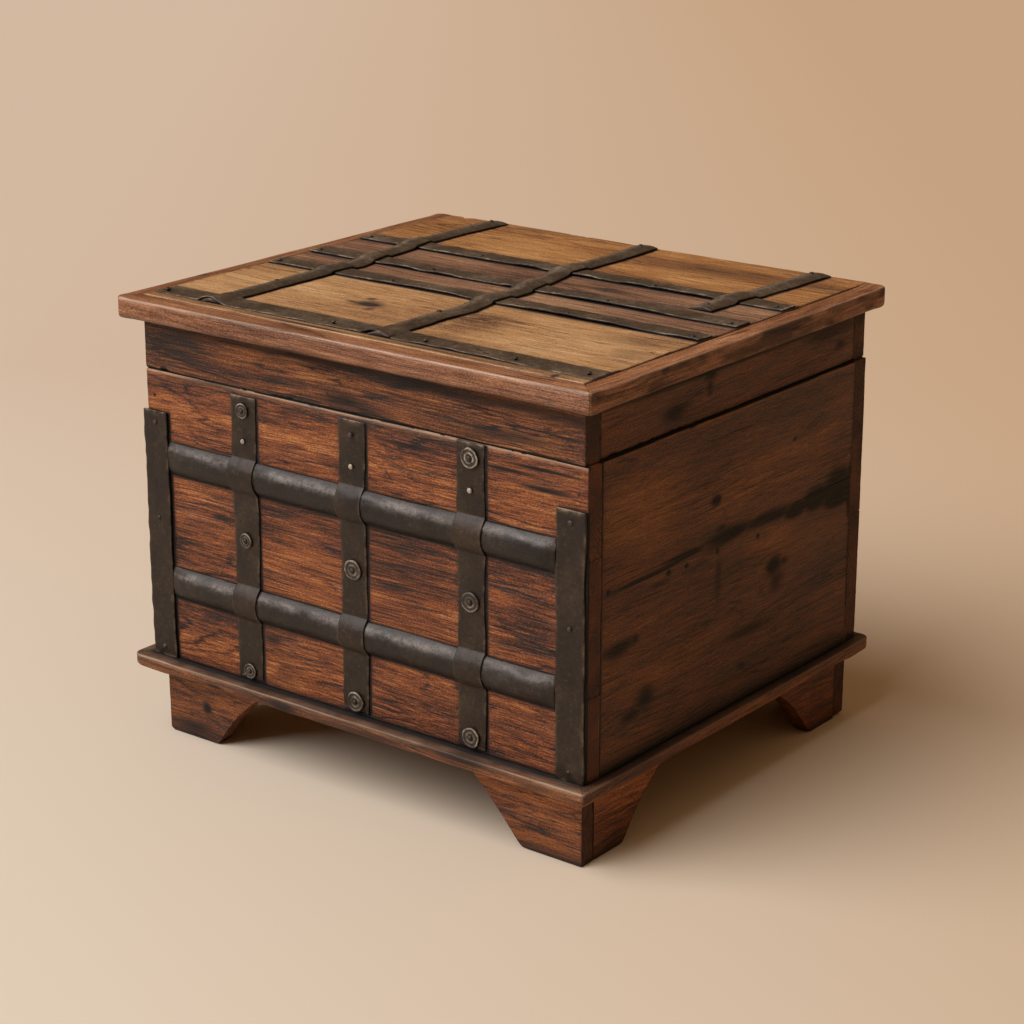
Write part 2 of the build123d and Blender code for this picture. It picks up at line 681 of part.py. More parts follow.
# ---------------------------------------------------------------- nails of the ironwork
with BuildPart() as carcase_nails:
    drive(front_face, rosette_points, strap_thickness + rosette_seat)
    drive(front_face, strap_nail_points, strap_thickness)
    drive(back_face, body_leaf_nails, hinge_thickness)
save(carcase_nails, "carcase_strap_nails")

with BuildPart() as lid_nails:
    drive(lid_face, lid_nail_points, lid_strap_thickness)
    drive(lid_face, rib_nail_points, rib_rise)
    drive(back_face, lid_leaf_nails, hinge_thickness)
save(lid_nails, "lid_strap_nails")
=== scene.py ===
"""Old iron-bound damchiya chest: worn boards, forged straps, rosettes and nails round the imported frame."""
import json
from functools import partial
from math import pi, radians

import bpy
import numpy as np
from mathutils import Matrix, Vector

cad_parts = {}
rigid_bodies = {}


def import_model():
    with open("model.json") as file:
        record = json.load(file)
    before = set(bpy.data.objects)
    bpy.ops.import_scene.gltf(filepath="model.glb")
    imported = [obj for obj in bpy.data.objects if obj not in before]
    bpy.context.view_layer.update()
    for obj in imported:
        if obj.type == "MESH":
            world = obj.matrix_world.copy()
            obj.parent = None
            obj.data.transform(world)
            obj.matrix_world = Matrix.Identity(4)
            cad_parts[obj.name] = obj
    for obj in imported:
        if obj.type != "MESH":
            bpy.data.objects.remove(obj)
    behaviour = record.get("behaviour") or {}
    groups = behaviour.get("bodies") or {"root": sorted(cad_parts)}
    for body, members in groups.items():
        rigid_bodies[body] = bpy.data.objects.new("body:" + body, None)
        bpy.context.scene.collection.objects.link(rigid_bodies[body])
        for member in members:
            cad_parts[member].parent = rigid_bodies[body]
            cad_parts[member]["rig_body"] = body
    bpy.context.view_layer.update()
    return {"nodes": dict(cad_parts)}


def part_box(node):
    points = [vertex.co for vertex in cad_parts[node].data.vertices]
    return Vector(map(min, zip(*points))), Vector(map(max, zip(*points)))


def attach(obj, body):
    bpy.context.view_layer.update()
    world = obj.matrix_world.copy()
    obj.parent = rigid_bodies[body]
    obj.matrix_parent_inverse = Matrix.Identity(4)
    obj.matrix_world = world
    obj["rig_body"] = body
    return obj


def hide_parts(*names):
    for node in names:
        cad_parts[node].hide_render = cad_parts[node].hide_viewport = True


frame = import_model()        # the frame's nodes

bl_info = {
    "name": "Iron-bound damchiya chest",
    "version": (1, 0, 0),
    "blender": (4, 5, 0),
    "location": "View3D > Sidebar > Chest",
    "description": "Builds the worn wood and forged iron of a small dowry chest around its frame",
    "category": "Object",
}

MM = 0.001


def linear(hex_colour):
    """An sRGB hex colour as linear RGBA, by the sRGB transfer curve."""
    value = np.array([int(hex_colour[i:i + 2], 16) for i in (1, 3, 5)]) / 255
    value = np.where(value <= 0.04045, value / 12.92, ((value + 0.055) / 1.055) ** 2.4)
    return (*(float(v) for v in value), 1.0)


# ---------------------------------------------------------------- settings
def colour(name, description, hex_colour):
    """A colour setting with its default as sRGB hex."""
    return bpy.props.FloatVectorProperty(name=name, description=description, subtype="COLOR", size=4,
                                         min=0.0, max=1.0, default=linear(hex_colour))


def length(name, description, millimetres):
    """A length setting with its default in millimetres."""
    return bpy.props.FloatProperty(name=name, description=description, unit="LENGTH", min=0.0, precision=5,
                                   default=millimetres * MM)


class ChestSizes(bpy.types.PropertyGroup):
    """Sizes of wear and hammering that the frame leaves open."""

    board_arris: length("Board arris", "Worn rounding of the board edges", 1.0)
    joint_arris: length("Joint arris", "Rounding under the lid skirt, above the joint", 2.1)
    body_arris: length("Body arris", "Rounding of the body's top edge, below the joint", 1.0)
    wood_swell: length("Wood swell", "Height of the slow unevenness of old boards", 0.35)
    wood_relief: length("Wood relief", "Height of the ridges along the grain", 0.14)
    nose_top: length("Nose top", "Rounding of the lid's top edge", 2.4)
    nose_bottom: length("Nose bottom", "Rounding of the lid's lower edge", 3.2)
    base_nose_top: length("Base nose top", "Rounding of the base frame's top edge", 1.2)
    base_nose_bottom: length("Base nose bottom", "Rounding of the base frame's lower edge", 4.6)
    strap_waver: length("Strap waver", "How far forged strap edges wander", 0.7)
    hammer_marks: length("Hammer marks", "Depth of the hammer marks in the iron", 0.3)


class ChestColours(bpy.types.PropertyGroup):
    """Colours of the studio."""

    # The floor colours paint the light's falloff: paler near, browner far, and painted shade on the side away from
    # the light.
    floor_near: colour("Floor near", "Studio floor in front of the chest", "#e4dac9")
    floor_far: colour("Floor far", "Studio floor behind the chest", "#cebaa5")
    floor_painted_shade: colour("Floor shade", "Studio floor on the side away from the light", "#c0a384")


# ---------------------------------------------------------------- noise and falloffs
def lattice_noise(points, seed):
    """Value noise from -1 to 1: hashed values on whole-number lattice points, blended with a smooth step."""
    cell = np.floor(points)
    part = points - cell
    part = part * part * (3 - 2 * part)
    cell = cell.astype(np.int64)
    total = np.zeros(points.shape[:-1])
    for corner in np.ndindex(2, 2, 2):
        k = cell + corner
        mixed = k[..., 0] * 374761393 + k[..., 1] * 668265263 + k[..., 2] * 1274126177 + seed * 974634777
        mixed &= 0xFFFFFFFF
        mixed = ((mixed ^ (mixed >> 13)) * 1274126177) & 0xFFFFFFFF
        mixed ^= mixed >> 16
        total += np.prod(np.where(corner, part, 1 - part), axis=-1) * mixed
    return total / 0x7FFFFFFF - 1


def cloudy(points, periods, seed, octaves=3):
    """Octaves of lattice noise over points divided by periods in millimetres, each half as strong as the last."""
    scaled = points / (np.asarray(periods) * MM)
    return sum(lattice_noise(scaled * 2**i, seed + 31 * i) / 2**i for i in range(octaves))


def wander(places, period, seed):
    """Noise along one line of places."""
    return cloudy(np.multiply.outer(places, (1, 0, 0)), period, seed)


def fade(distance, reach, power=1):
    """The exponential of minus a power of the distance over a reach in millimetres."""
    return np.exp(-(distance / (reach * MM)) ** power)


def held(values):
    """Values held between 0 and 1."""
    return np.clip(values, 0, 1)


# ---------------------------------------------------------------- meshes
def tube_faces(rows, columns, first):
    """Quads of a grid whose columns close on themselves, and a fan of triangles on each end."""
    ring = np.arange(columns)
    turn = (ring + 1) % columns
    start = first + np.arange(rows - 1)[:, None] * columns
    quads = np.stack([start + ring, start + turn, start + columns + turn, start + columns + ring], -1)
    pole = np.full(columns, first + rows * columns)
    last = first + (rows - 1) * columns
    fans = [np.stack([pole, first + turn, first + ring], -1), np.stack([pole + 1, last + ring, last + turn], -1)]
    return quads.reshape(-1, 4), np.concatenate(fans)


def tube_volume(grid):
    """Signed volume inside a closed tube, by summing its quads' halves against the middle."""
    turned_on = np.roll(grid, -1, 1)
    a, b, c, d = (corner - grid.mean((0, 1)) for corner in (grid[:-1], turned_on[:-1], turned_on[1:], grid[1:]))
    return sum(np.einsum("...i,...i", p, np.cross(q, r)).sum() for p, q, r in ((a, b, c), (a, c, d)))


def make_mesh(name, tubes):
    """One mesh of closed tubes. Each tube is a grid of points with a dict of values per point.

    A tube whose volume is negative is turned right side out. Each end closes on a pole at its middle.
    """
    faces, layers, count = ([], []), {}, 0
    for grid, extra in tubes:
        rows, columns = grid.shape[:2]
        turn = -1 if tube_volume(grid) < 0 else 1
        for kind, found in zip(faces, tube_faces(rows, columns, count)):
            kind.append(found)
        for key, value in {"co": grid, **extra}.items():
            value = value[:, ::turn].reshape(rows, columns, -1)
            poles = value[[0, -1]].mean(1)
            layers.setdefault(key, []).append(np.concatenate([value.reshape(rows * columns, -1), poles]))
        count += rows * columns + 2
    quads, fans = map(np.concatenate, faces)
    starts = np.concatenate([np.arange(len(quads)) * 4, quads.size + np.arange(len(fans)) * 3])
    mesh = bpy.data.meshes.new(name)
    mesh.vertices.add(count)
    mesh.vertices.foreach_set("co", np.concatenate(layers.pop("co")).ravel())
    mesh.loops.add(quads.size + fans.size)
    mesh.loops.foreach_set("vertex_index", np.concatenate([quads.ravel(), fans.ravel()]))
    mesh.polygons.add(len(starts))
    mesh.polygons.foreach_set("loop_start", starts)
    mesh.update(calc_edges=True)
    mesh.polygons.foreach_set("use_smooth", np.ones(len(starts), bool))
    for key, parts in layers.items():
        data = np.concatenate(parts)
        kind, field = ("FLOAT_VECTOR", "vector") if data.shape[1] == 3 else ("FLOAT", "value")
        mesh.attributes.new(key, kind, "POINT").data.foreach_set(field, data.ravel())
    return mesh


def show(node, finish, material, *tubes):
    """Show closed tubes in place of a frame node, on its body, in an object named with its finish."""
    mesh = make_mesh(node, tubes)
    mesh.materials.append(material)
    piece = bpy.data.objects.new(f"{node}_{finish}", mesh)
    bpy.context.scene.collection.objects.link(piece)
    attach(piece, frame["nodes"][node]["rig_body"])
    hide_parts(node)


def node_box(*nodes):
    """Lowest and highest corner of one or more frame nodes together."""
    corners = np.array([[tuple(c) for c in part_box(node)] for node in nodes])
    return corners[:, 0].min(0), corners[:, 1].max(0)


CARCASE_LOW, CARCASE_HIGH = node_box("front_plank_lower", "front_plank_upper", "back_plank_lower")
CARCASE_MIDDLE = (CARCASE_LOW + CARCASE_HIGH) / 2 * (1, 1, 0)
LID_TOP = node_box("lid_plank_front")[1][2]
# Axis and sign of the face that each side shows, and the corners of a section.
SIDES = {"front": (1, -1), "right": (0, 1), "back": (1, 1), "left": (0, -1), "top": (2, 1)}
CORNERS = ((1, 1), (-1, 1), (-1, -1), (1, -1))


def in_axes(axes, *values):
    """Points whose three values lie along the axes of those numbers."""
    return np.stack(np.broadcast_arrays(*values), -1)[..., np.argsort(axes)]


def grid_normals(grid):
    """Outward unit normals of a closed tube, from the cross product of its two grid directions."""
    normal = np.cross(np.gradient(grid, axis=0), np.roll(grid, -1, 1) - np.roll(grid, 1, 1))
    normal /= np.linalg.norm(normal, axis=-1, keepdims=True) + 1e-12
    outward = grid - grid.mean(1, keepdims=True)
    return normal * np.sign((normal * outward).sum())


def capped(grid, shares=(0.25, 0.6, 0.88)):
    """The tube with rings drawn in towards the middle of both ends, so that the end faces have points too."""
    low, high = (ring.mean(1, keepdims=True) for ring in (grid[:1], grid[-1:]))
    start = [low + share * (grid[:1] - low) for share in shares]
    finish = [high + share * (grid[-1:] - high) for share in reversed(shares)]
    return np.concatenate([*start, grid, *finish])


def rounded_section(half_width, half_height, radius, counts, arc=4):
    """Rounded rectangles, one for each station: four quarter arcs joined by straight sides.

    The sides run top, left, bottom, right, with the given number of points inside each.
    """
    arcs = []
    for k, (sx, sy) in enumerate(CORNERS):
        angle = pi / 2 * k + np.linspace(0, pi / 2, arc)
        reach = radius[:, k, None]
        arcs.append(np.stack([sx * (half_width[:, None] - reach) + reach * np.cos(angle),
                              sy * (half_height[:, None] - reach) + reach * np.sin(angle)], -1))
    outline = []
    for k, count in enumerate(counts):
        share = (np.arange(count) + 1)[None, :, None] / (count + 1)
        outline += [arcs[k], arcs[k][:, -1:] * (1 - share) + arcs[(k + 1) % 4][:, :1] * share]
    return np.concatenate(outline, axis=1)


def stations(total, step):
    """Places along a piece and the inset of its section there: a quarter round of 0.8 mm at each end."""
    end_round = 0.8 * MM
    angle = np.linspace(0, pi / 2, 4)
    near, inset = end_round * (1 - np.cos(angle)), end_round * (1 - np.sin(angle))
    count = max(int((total - 2 * end_round) / (step * MM)), 2)
    middle = np.linspace(end_round, total - end_round, count)[1:-1]
    places = np.concatenate([near, middle, total - near[::-1]])
    return places - total / 2, np.concatenate([inset, np.zeros(len(middle)), inset[::-1]])


# ---------------------------------------------------------------- materials
def add_node(tree, kind, *values, out=0, inputs=None, stops=(), **settings):
    """Add a shader node and give one of its outputs.

    Values fill or link its first inputs in order, and inputs does so by name. Stops are a ramp's places
    and tones, its two ends first. The settings are the node's own properties.
    """
    node = tree.nodes.new(f"ShaderNode{kind}")
    for key, value in settings.items():
        setattr(node, key, value)
    for i, (position, tone) in enumerate(stops):
        element = node.color_ramp.elements[i] if i < 2 else node.color_ramp.elements.new(position)
        element.position, element.color = position, tone
    for key, value in [*enumerate(values), *(inputs or {}).items()]:
        if isinstance(value, bpy.types.NodeSocket):
            tree.links.new(value, node.inputs[key])
        else:
            node.inputs[key].default_value = value
    return node.outputs[out] if node.outputs else None


def new_material(name):
    """An empty node material, and the function that adds nodes to it."""
    material = bpy.data.materials.new(name)
    material.use_nodes = True
    material.node_tree.nodes.clear()
    return material, partial(add_node, material.node_tree)


def stretched(add, vector, scale, detail=2.0, roughness=0.5, shift=(0, 0, 0), out="Fac"):
    """A noise pattern drawn out along a piece, because each axis of its vector is scaled on its own."""
    mapped = add("Mapping", inputs={"Vector": vector, "Scale": scale, "Location": shift})
    inputs = {"Vector": mapped, "Scale": 1.0, "Detail": detail, "Roughness": roughness}
    return add("TexNoise", out=out, inputs=inputs)


def weighed(add, start, *parts):
    """A start value plus each value times its weight."""
    for value, weight in parts:
        start = add("Math", value, weight, start, operation="MULTIPLY_ADD")
    return start


def off_middle(add, value):
    """How far a value lies from one half."""
    return add("Math", add("Math", value, 0.5, operation="SUBTRACT"), operation="ABSOLUTE")


def close_material(add, inputs, height=None, bump=0.0, depth=0.0):
    """Close a material with a principled shader, and with a bump of a height in millimetres if it has one."""
    if height is not None:
        inputs["Normal"] = add("Bump", inputs={"Height": height, "Strength": bump, "Distance": depth * MM})
    add("OutputMaterial", add("BsdfPrincipled", inputs=inputs))


def old_wood(name, tones, stain_tone, wear_tone, contrast=1.0, gloss=0.5, bump=0.55, cracks=1.0):
    """Old oiled hardwood, sawn, planed by hand and worn.

    It gives long fine streaks of light and dark heartwood, growth rings that run out in long arches,
    drying cracks and short pores along the grain, grime in the hollows and rubbed, paler arrises. The
    stain attribute also carries painted shade and shadow, and the wear attribute painted highlights.
    It reads each board's own grain coordinates, in metres, X along the grain and the log's heart at
    Y = Z = 0.
    """
    material, add = new_material(name)
    grain = add("Attribute", attribute_name="grain", out="Vector")
    wear, stain, shade = (add("Attribute", attribute_name=key, out="Fac") for key in ("wear", "stain", "shade"))

    # The log's heart wanders by a few millimetres, which bends the rings.
    drift = add("VectorMath", stretched(add, grain, (5, 16, 16), out="Color"), (0.5, 0.5, 0.5), operation="SUBTRACT")
    heart = add("VectorMath", drift, (0, 0.02, 0.02), grain, operation="MULTIPLY_ADD")
    flat = add("VectorMath", heart, (0, 1, 1), operation="MULTIPLY")
    radius = add("VectorMath", flat, operation="LENGTH", out="Value")

    # Blotches 40 mm wide, streaks of 8 mm and lines of 2 mm, drawn out along the grain. Real fibres and
    # pores are a tenth of a millimetre wide; they are drawn 0.8 and 1 mm wide, so that they show.
    blotch = stretched(add, heart, (5, 26, 26), 3.0, shift=(3, 1, 7))
    streak = stretched(add, heart, (6, 120, 120), 4.0, 0.6)
    line = stretched(add, heart, (17, 560, 560), 3.0, 0.65, (1, 8, 2))
    fibre = stretched(add, grain, (30, 1250, 1250), 2.0, 0.6, (6, 6, 1))
    speck = stretched(add, grain, (650, 950, 950), 2.0, 0.6, (5, 5, 5))

    # Late wood: a thin dark line each year, 3.6 mm apart, plain in some places and lost in others.
    year = add("Math", weighed(add, 0.0, (radius, 1 / (3.6 * MM)), (streak, 1.6)), operation="FRACT")
    plain = add("MapRange", stretched(add, grain, (8, 34, 34), 3.0, shift=(2, 9, 4)), 0.46, 0.62)
    late = add("Math", add("MapRange", off_middle(add, year), 0.36, 0.5), plain, operation="MULTIPLY")

    # Drying cracks follow a contour of stretched noise where a second noise lets them open.
    split = off_middle(add, stretched(add, grain, (7, 190, 190), 3.0, shift=(4, 4, 4)))
    where = add("MapRange", stretched(add, grain, (9, 40, 40), 3.0, shift=(7, 2, 2)), 0.5, 0.6)
    crack = add("Math", add("MapRange", split, 0.004, 0.02, cracks, 0.0), where, operation="MULTIPLY")

    weights = ((blotch, 1.2 * contrast), (streak, 0.85 * contrast), (line, 1.3 * contrast), (fibre, 1.3 * contrast),
               (speck, 1.1))
    middle = 0.5 - 0.5 * sum(weight for _, weight in weights)
    # Shade marks move the tone; those under the lid rim are painted shade.
    tone = weighed(add, middle, *weights, (late, -0.5 * contrast), (shade, 0.4))
    last = len(tones) - 1
    body = add("ValToRGB", tone, stops=[(i / last, tones[i]) for i in (0, last, *range(1, last))])

    # Cracks hold dark wax; stains with painted shade and shadow, and rubbed places with painted highlights, follow
    # the streaks at their edges.
    filled = add("MixRGB", add("Math", crack, 0.9, operation="MULTIPLY"), body, stain_tone)
    edge = weighed(add, -1.2, (streak, 2.0), (line, 1.4), (fibre, 0.9), (speck, 0.7))
    rubbed, soiled_and_shaded = (add("Math", mark, edge, operation="MULTIPLY", use_clamp=True) for mark in (wear, stain))
    worn = add("MixRGB", add("Math", rubbed, 0.75, operation="MULTIPLY"), filled, wear_tone)

    # Height: ridged lines and fibres, sunken late wood and cracks.
    height = weighed(add, 0.0, (streak, 0.5), (line, 0.8), (fibre, 0.8), (speck, 0.35), (late, -0.5), (crack, -2.2))
    rough = weighed(add, gloss - 0.13, (line, 0.3), (soiled_and_shaded, 0.25), (rubbed, -0.06))
    close_material(add, {"Base Color": add("MixRGB", soiled_and_shaded, worn, stain_tone), "Roughness": rough,
                         "Specular IOR Level": 0.36}, height, bump, 1.1)
    return material


def forged_iron(name, dark, mid, bright, dust, rough, metal, dusty):
    """Hand-forged iron strap, blackened in the fire, waxed and browned with age.

    It gives a dark brown skin with greyer rubbed places, pits, light dust on torn edges, shallow
    hammer marks and a soft sheen; its wear and stain also paint highlights and shade. Metal is kept low, because
    scale and wax cover most of the bare iron.
    """
    material, add = new_material(name)
    here = add("TexCoord", out="Object")
    wear, stain = (add("Attribute", attribute_name=key, out="Fac") for key in ("wear", "stain"))
    # Patina in patches of 33 mm, freckles of 4 mm, hammer marks of 8 mm, and grit of 1 mm, which is
    # coarser than real pits so that it shows.
    patina = stretched(add, here, (30, 30, 30), 4.0, 0.6)
    freckle = stretched(add, here, (260, 260, 260), 4.0, 0.65, (3, 3, 3))
    grit = stretched(add, here, (900, 900, 900), 2.0, 0.6, (7, 7, 7))
    hammer = stretched(add, here, (120, 120, 120))
    tone = weighed(add, -0.8, (patina, 1.3), (freckle, 0.8), (grit, 0.45))
    skin = add("ValToRGB", tone, stops=[(0.1, dark), (0.95, bright), (0.5, mid)])
    rubbed = add("Math", wear, weighed(add, -1.7, (freckle, 3.0), (grit, 2.0)), operation="MULTIPLY", use_clamp=True)
    pale = add("MapRange", weighed(add, 0.0, (freckle, 0.6), (grit, 0.4)), 0.6, 0.74, 0.0, dusty)
    # Rubbed places and dust take the dust tone; on the bands the wear is a painted highlight.
    worn = add("MixRGB", add("Math", rubbed, pale, operation="MAXIMUM"), skin, dust)
    # Stain darkens towards near black; on straps, bands and ribs it is painted shade on the sides turned from the
    # light.
    worn = add("MixRGB", add("Math", stain, 0.94, operation="MULTIPLY"), worn, linear("#0b0806"))
    height = weighed(add, 0.0, (hammer, 1.0), (freckle, 0.7), (grit, 0.25))
    sheen = weighed(add, rough - 0.32, (patina, 0.3), (freckle, 0.35), (rubbed, 0.1))
    close_material(add, {"Base Color": worn, "Roughness": sheen, "Metallic": metal}, height, 0.45, 0.8)
    return material


# Tones from dark to light, stain and wear tones, and how the wood differs from a plain board. The stain
# tone also paints shade and shadow, and the wear tone painted highlights.
WOODS = {
    "body_teak": ("#140904 #43200e #723b1d #955528 #b67c48", "#130b07 #b59072", dict(bump=0.6, contrast=0.9)),
    "side_teak": ("#120804 #371a0b #573013 #6f401b #8a5a2b", "#15100a #93653f", dict(contrast=0.68, cracks=0.6)),
    "skirt_teak": ("#120804 #3b1c0a #673617 #8b5226 #ae753d", "#130b07 #b59072", dict(bump=0.65)),
    "rail_teak": ("#29130a #603620 #865638 #a16e4b #c39470", "#1c110a #e2c3ad",
                  dict(contrast=0.7, gloss=0.42, cracks=0.5)),
    "base_teak": ("#190b05 #3b1c0c #5f3418 #7d4a27 #9e683b", "#150c07 #ab937c", dict(contrast=0.85)),
    "foot_teak": ("#180a04 #4a230d #79411d #9a5928 #b87a40", "#150c07 #c9a58c", dict(contrast=0.85)),
    "tan_plank": ("#4a2e1c #8a6242 #ab7e51 #c09466 #d6af83", "#2a1b12 #d9b890", dict(contrast=0.7, cracks=0.5)),
    "mauve_plank": ("#2c1b14 #5f3f2f #805a43 #987153 #b38c66", "#22160f #b8967c",
                    dict(contrast=0.75, gloss=0.52, bump=0.6)),
    "orange_plank": ("#3a200e #774a28 #986539 #af7d4a #c79968", "#281810 #d0a67c",
                     dict(contrast=0.75, gloss=0.48)),
    "raw_wood": ("#3a2415 #6e4a2e #8c6340 #a37b54 #b8926a", "#2a1c12 #b8926a",
                 dict(contrast=0.6, gloss=0.62, bump=0.5)),
}

# Dark, middle, bright and dust tones, then roughness, metal and the share of dust.
IRONS = {
    "strap_iron": ("#150e09 #2a1d12 #453422 #86735e", 0.5, 0.3, 0.45),
    # The band iron's dust tone is also the colour of the bands' painted highlight.
    "band_iron": ("#120e0b #271e17 #40372f #80766f", 0.5, 0.3, 0.3),
    "dusty_iron": ("#231910 #453627 #6f5b46 #a3907a", 0.6, 0.15, 0.6),
    "rosette_iron": ("#1b140e #3a2f24 #655646 #b0a292", 0.52, 0.25, 0.4),
}


def palette(hex_colours):
    """Linear tones of hex colours that stand in one line."""
    return [linear(h) for h in hex_colours.split()]


def wood(name):
    """The wood material of that name, made once."""
    tones, marks, finish = WOODS[name]
    return bpy.data.materials.get(name) or old_wood(name, palette(tones), *palette(marks), **finish)


def iron(name):
    """The iron material of that name, made once."""
    tones, *finish = IRONS[name]
    return bpy.data.materials.get(name) or forged_iron(name, *palette(tones), *finish)


# ---------------------------------------------------------------- marks on the wood
# A mark is two places and two radii in millimetres, from the middle of the carcase, and its strength.
# Each face has its stains, drawn in the dark stain tone, and then its shades, which move the wood's tone.
# The long, thin stains and shades along the top of the skirts, under the lid rim, are painted shadow.
FRONT_MARKS = ((
    # The long, thin stains at heights 363 and 366 are painted shadow under the lid rim.
    (-10, 337, 26, 6, 0.42), (12, 333, 14, 5, 0.4), (150, 339, 50, 6, 0.36), (120, 363, 130, 5, 0.38),
    (-60, 366, 170, 3.5, 0.36), (-93, 116, 10, 5, 0.4), (-80, 90, 9, 12, 0.2), (-184, 318, 3, 3, 0.5),
    (190, 303, 26, 2.2, 0.6), (150, 312, 30, 1.6, 0.6), (60, 313, 40, 1.6, 0.5), (190, 318, 40, 1.5, 0.6),
    (-150, 327, 40, 2, 0.4), (206, 244, 2, 2, 0.9), (-62, 262, 3, 3, 0.6),
), (
    (-165, 285, 40, 14, -0.35), (-60, 288, 60, 20, 0.05), (60, 288, 60, 18, 0.5), (175, 285, 40, 18, 0.45),
    (-165, 215, 40, 30, 0.4), (-60, 190, 50, 38, 0.35), (-60, 232, 50, 12, -0.3), (60, 205, 45, 50, -0.7),
    (60, 165, 45, 10, 0.15), (170, 225, 30, 16, 0.1), (170, 185, 34, 34, -0.7), (-165, 115, 34, 26, -0.3),
    (-60, 105, 48, 22, 0.25), (60, 118, 48, 16, -0.1), (170, 105, 30, 20, 0.1), (-120, 345, 110, 9, -0.35),
    # The shade at height 365 is painted shade under the lid rim.
    (10, 350, 90, 8, 0.45), (60, 365, 160, 7, -0.5), (170, 342, 60, 9, 0.35), (-190, 352, 44, 16, -1.0),
))
SIDE_MARKS = ((
    (-120, 221, 60, 1.6, 0.7), (-70, 224, 34, 3.6, 0.6), (-10, 225, 40, 7, 0.6), (50, 223, 40, 6, 0.62),
    (95, 219, 18, 7, 0.75), (125, 222, 22, 12, 0.7), (160, 222, 26, 20, 0.75), (181, 215, 5, 26, 1.0),
    (-27, 258, 8, 5, 0.75), (-19, 232, 9, 4, 0.5), (62, 178, 11, 9, 0.65), (66, 166, 9, 9, 0.4),
    (77, 179, 7, 3, 0.5), (-160, 173, 24, 6, 0.6), (-137, 174, 4, 4, 0.5), (-122, 122, 16, 12, 0.45),
    (-142, 112, 14, 6, 0.4), (30, 133, 40, 5, 0.4), (16, 104, 6, 3, 0.4), (-22, 190, 5, 22, 0.3),
    (-174, 222, 2, 2, 1.0), (-93, 216, 3, 2.2, 1.0), (-68, 215, 3, 2, 0.9), (-10, 223, 2.6, 2, 1.0),
    (115, 218, 3, 2.6, 1.0), (-187, 319, 5, 2.6, 1.0), (-24, 215, 2.6, 3, 0.8), (36, 212, 2.4, 2.2, 0.7),
    (88, 282, 3, 1.6, 0.6), (130, 85, 50, 5, 0.35), (-85, 344, 16, 8, 0.55), (-35, 366, 9, 6, 0.7),
    # The long, thin stain at height 366 on this line is painted shadow under the lid rim.
    (-36, 352, 4, 6, 0.5), (150, 362, 42, 7, 0.4), (160, 347, 8, 4, 0.4), (-20, 366, 190, 3, 0.45),
), (
    (-130, 275, 50, 36, 0.6), (-30, 300, 40, 16, -0.3), (60, 262, 90, 22, 0.3), (60, 203, 36, 10, 0.6),
    (-60, 190, 90, 22, -0.3), (-120, 145, 50, 10, 0.2), (20, 120, 150, 24, -0.25), (-140, 90, 40, 14, 0.1),
    (120, 160, 60, 30, -0.1), (0, 315, 170, 10, -0.25), (-130, 350, 50, 16, 0.1), (60, 350, 90, 12, -0.2),
))
LID_MARKS = ((
    (-62, -105, 14, 10, 0.55), (-72, -92, 6, 5, 0.45), (-52, -118, 5, 6, 0.4), (-78, -108, 6, 3, 0.4),
    (42, -108, 22, 5, 0.12), (-237, 20, 3, 42, 0.95), (221, -30, 2.4, 13, 1.0), (221, -165, 2.2, 18, 0.95),
    (220, 20, 2, 16, 0.8), (220, 95, 1.8, 12, 0.8), (222, -90, 2, 40, 0.5), (200, -105, 20, 12, 0.2),
    (185, -75, 30, 12, 0.2), (192, -192, 3, 5, 0.7), (-55, -191, 60, 2.5, 0.5), (70, -190, 90, 3, 0.35),
    (120, 165, 110, 16, 0.2),
), (
    (48, -100, 26, 52, -0.75), (25, -60, 30, 16, -0.35), (-175, -100, 70, 55, 0.3), (-90, -70, 60, 25, 0.15),
    (150, -110, 60, 45, 0.15), (200, -60, 30, 16, -0.4), (-100, 10, 40, 20, 0.1), (-200, 40, 40, 40, -0.1),
    (90, 55, 70, 18, -0.1), (60, 0, 50, 14, 0.15), (-30, 60, 50, 20, -0.2), (-90, 150, 60, 40, 0.25),
    (110, 175, 90, 22, -0.45), (0, -189, 210, 4, -0.5), (90, 140, 60, 20, 0.1), (-220, 150, 30, 50, -0.2),
))
BASE_MARKS = ((
    (-70, 66, 18, 5, 0.5), (-150, 64, 12, 3, 0.4), (30, 66, 40, 3, 0.35), (120, 70, 30, 4, 0.5),
    (-30, 62, 14, 3, 0.35), (190, 66, 20, 4, 0.3), (0, 61, 260, 1.6, 0.5),
), ())
FOOT_MARKS = (((-178, 31, 6, 6, 0.75), (-195, 8, 34, 11, 0.45)), ())
NO_MARKS = ((), ())


def marked(points, axes, table, seed, along):
    """Strength of the marks at each point: soft ellipses whose outlines noise has pulled along the grain.

    Each falls off with the 1.5th power of its squared distance. The table's strengths may be negative,
    and the mark that is furthest from zero wins.
    """
    total = np.zeros(points.shape[:-1])
    local = points - CARCASE_MIDDLE
    pull = cloudy(local, np.where(np.arange(3) == along, 40.0, 9.0), seed) if table else 0
    for first, second, first_radius, second_radius, strength in table:
        distance = ((local[..., axes[0]] - first * MM) / (first_radius * MM)) ** 2
        distance += ((local[..., axes[1]] - second * MM) / (second_radius * MM)) ** 2
        mark = strength * np.exp(-(np.clip(distance * (1 + 0.55 * pull), 0, 30) ** 1.5))
        total = np.where(np.abs(mark) > np.abs(total), mark, total)
    return total


def beside_boxes(points, axes, nodes, reach, shift):
    """Painted shadow beside ironwork: 1 at the edge of its boxes, fading over a reach.

    The boxes are moved by a shift, in millimetres, so that the painted shadow is widest on their shaded side.
    """
    total = 0
    for node in nodes:
        low, high = (corner[axes] + np.array(shift) * MM for corner in node_box(node))
        outside = np.maximum(np.maximum(low - points[..., axes], points[..., axes] - high), 0)
        total = np.maximum(total, fade(np.hypot(outside[..., 0], outside[..., 1]), reach))
    return total


